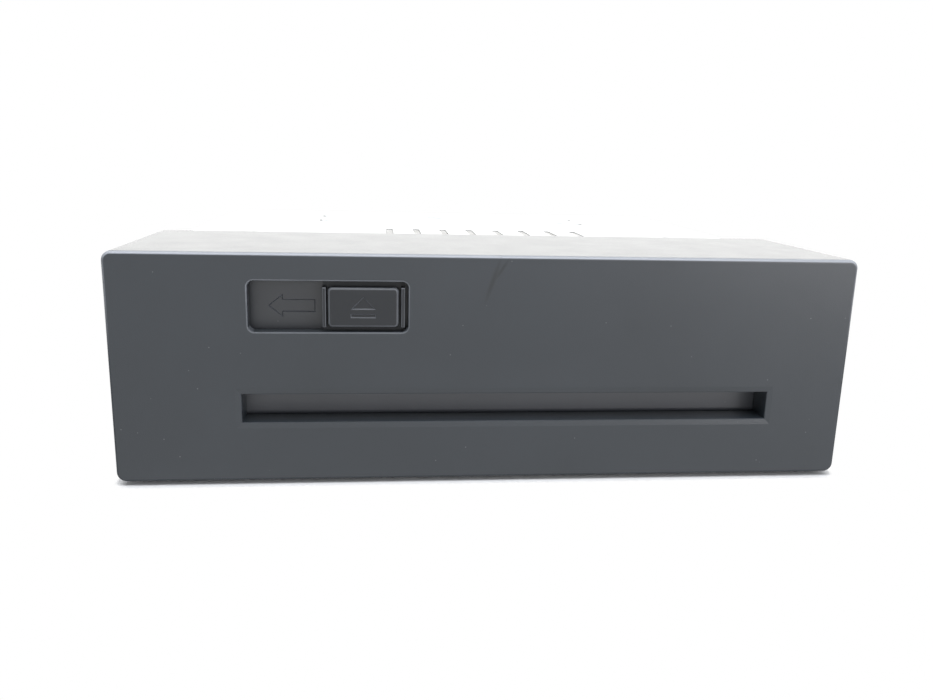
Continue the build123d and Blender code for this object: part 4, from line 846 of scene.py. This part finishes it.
def white_floor():
    """A white floor, bright wherever nothing stands close over it."""
    bpy.ops.object.select_all(action="DESELECT")
    bpy.ops.mesh.primitive_plane_add(size=FLOOR_SIZE, location=(0.0, 0.0, 0.0))
    floor = bpy.context.active_object
    floor.name = "studio_floor"
    material = bpy.data.materials.new("floor_white")
    material.use_nodes = True
    tree = material.node_tree
    tree.nodes.clear()
    out = tree.nodes.new("ShaderNodeOutputMaterial")
    diffuse = tree.nodes.new("ShaderNodeBsdfDiffuse")
    diffuse.inputs["Color"].default_value = (0.9, 0.9, 0.9, 1.0)
    white = tree.nodes.new("ShaderNodeEmission")
    white.inputs["Color"].default_value = (1.0, 1.0, 1.0, 1.0)
    white.inputs["Strength"].default_value = 1.0
    contact = tree.nodes.new("ShaderNodeAmbientOcclusion")
    contact.samples = 32
    contact.inputs["Distance"].default_value = CONTACT_REACH
    uncovered = ramp(tree, contact.outputs["AO"], 0.66, 0.75)
    mix = tree.nodes.new("ShaderNodeMixShader")
    link(tree, calculate(tree, "MULTIPLY", white_where_seen(tree), uncovered), mix.inputs["Fac"])
    link(tree, diffuse.outputs["BSDF"], mix.inputs[1])
    link(tree, white.outputs["Emission"], mix.inputs[2])
    link(tree, mix.outputs["Shader"], out.inputs["Surface"])
    floor.data.materials.append(material)


def studio_world():
    """Soft light all round, and white for what the camera sees past the floor."""
    world = bpy.data.worlds.new("studio")
    bpy.context.scene.world = world
    world.use_nodes = True
    tree = world.node_tree
    tree.nodes.clear()
    out = tree.nodes.new("ShaderNodeOutputWorld")
    soft = tree.nodes.new("ShaderNodeBackground")
    soft.inputs["Color"].default_value = (0.93, 0.96, 1.0, 1.0)
    soft.inputs["Strength"].default_value = ROOM_LIGHT
    white = tree.nodes.new("ShaderNodeBackground")
    white.inputs["Color"].default_value = (1.0, 1.0, 1.0, 1.0)
    white.inputs["Strength"].default_value = 1.0
    mix = tree.nodes.new("ShaderNodeMixShader")
    link(tree, white_where_seen(tree), mix.inputs["Fac"])
    link(tree, soft.outputs["Background"], mix.inputs[1])
    link(tree, white.outputs["Background"], mix.inputs[2])
    link(tree, mix.outputs["Shader"], out.inputs["Surface"])


def photo_camera():
    """The camera that took the photograph."""
    data = bpy.data.cameras.new("photo_camera")
    data.lens = CAMERA_LENS
    data.sensor_width = CAMERA_SENSOR
    data.sensor_fit = "HORIZONTAL"
    data.clip_start = 0.01
    camera = bpy.data.objects.new("photo_camera", data)
    bpy.context.scene.collection.objects.link(camera)
    right = CAMERA_RIGHT.normalized()
    back = -CAMERA_FORWARD.normalized()
    up = back.cross(right).normalized()
    right = up.cross(back).normalized()
    aim = Matrix((right, up, back)).transposed().to_4x4()
    camera.matrix_world = Matrix.Translation(CAMERA_PLACE) @ aim
    bpy.context.scene.camera = camera


white_floor()
studio_world()
area_light("overhead_softbox", (-0.05, -0.3, 0.62), (0.0, -0.08, 0.05), (0.9, 0.34), 4.4, (0.95, 0.97, 1.0))
area_light("back_window", (0.1, 0.72, 0.42), (0.0, 0.0, 0.05), (1.9, 0.8), 1.45, (1.0, 0.99, 0.965))
area_light("front_soft", (0.3, -1.1, 0.42), (0.0, -0.08, 0.03), (1.2, 0.6), 1.1, (0.95, 0.96, 1.0))
area_light("right_fill", (0.6, -0.72, 0.14), (0.08, -0.08, 0.03), (0.5, 0.26), 4.2, (1.0, 0.98, 1.0))
photo_camera()

bpy.context.scene.view_settings.view_transform = "Standard"
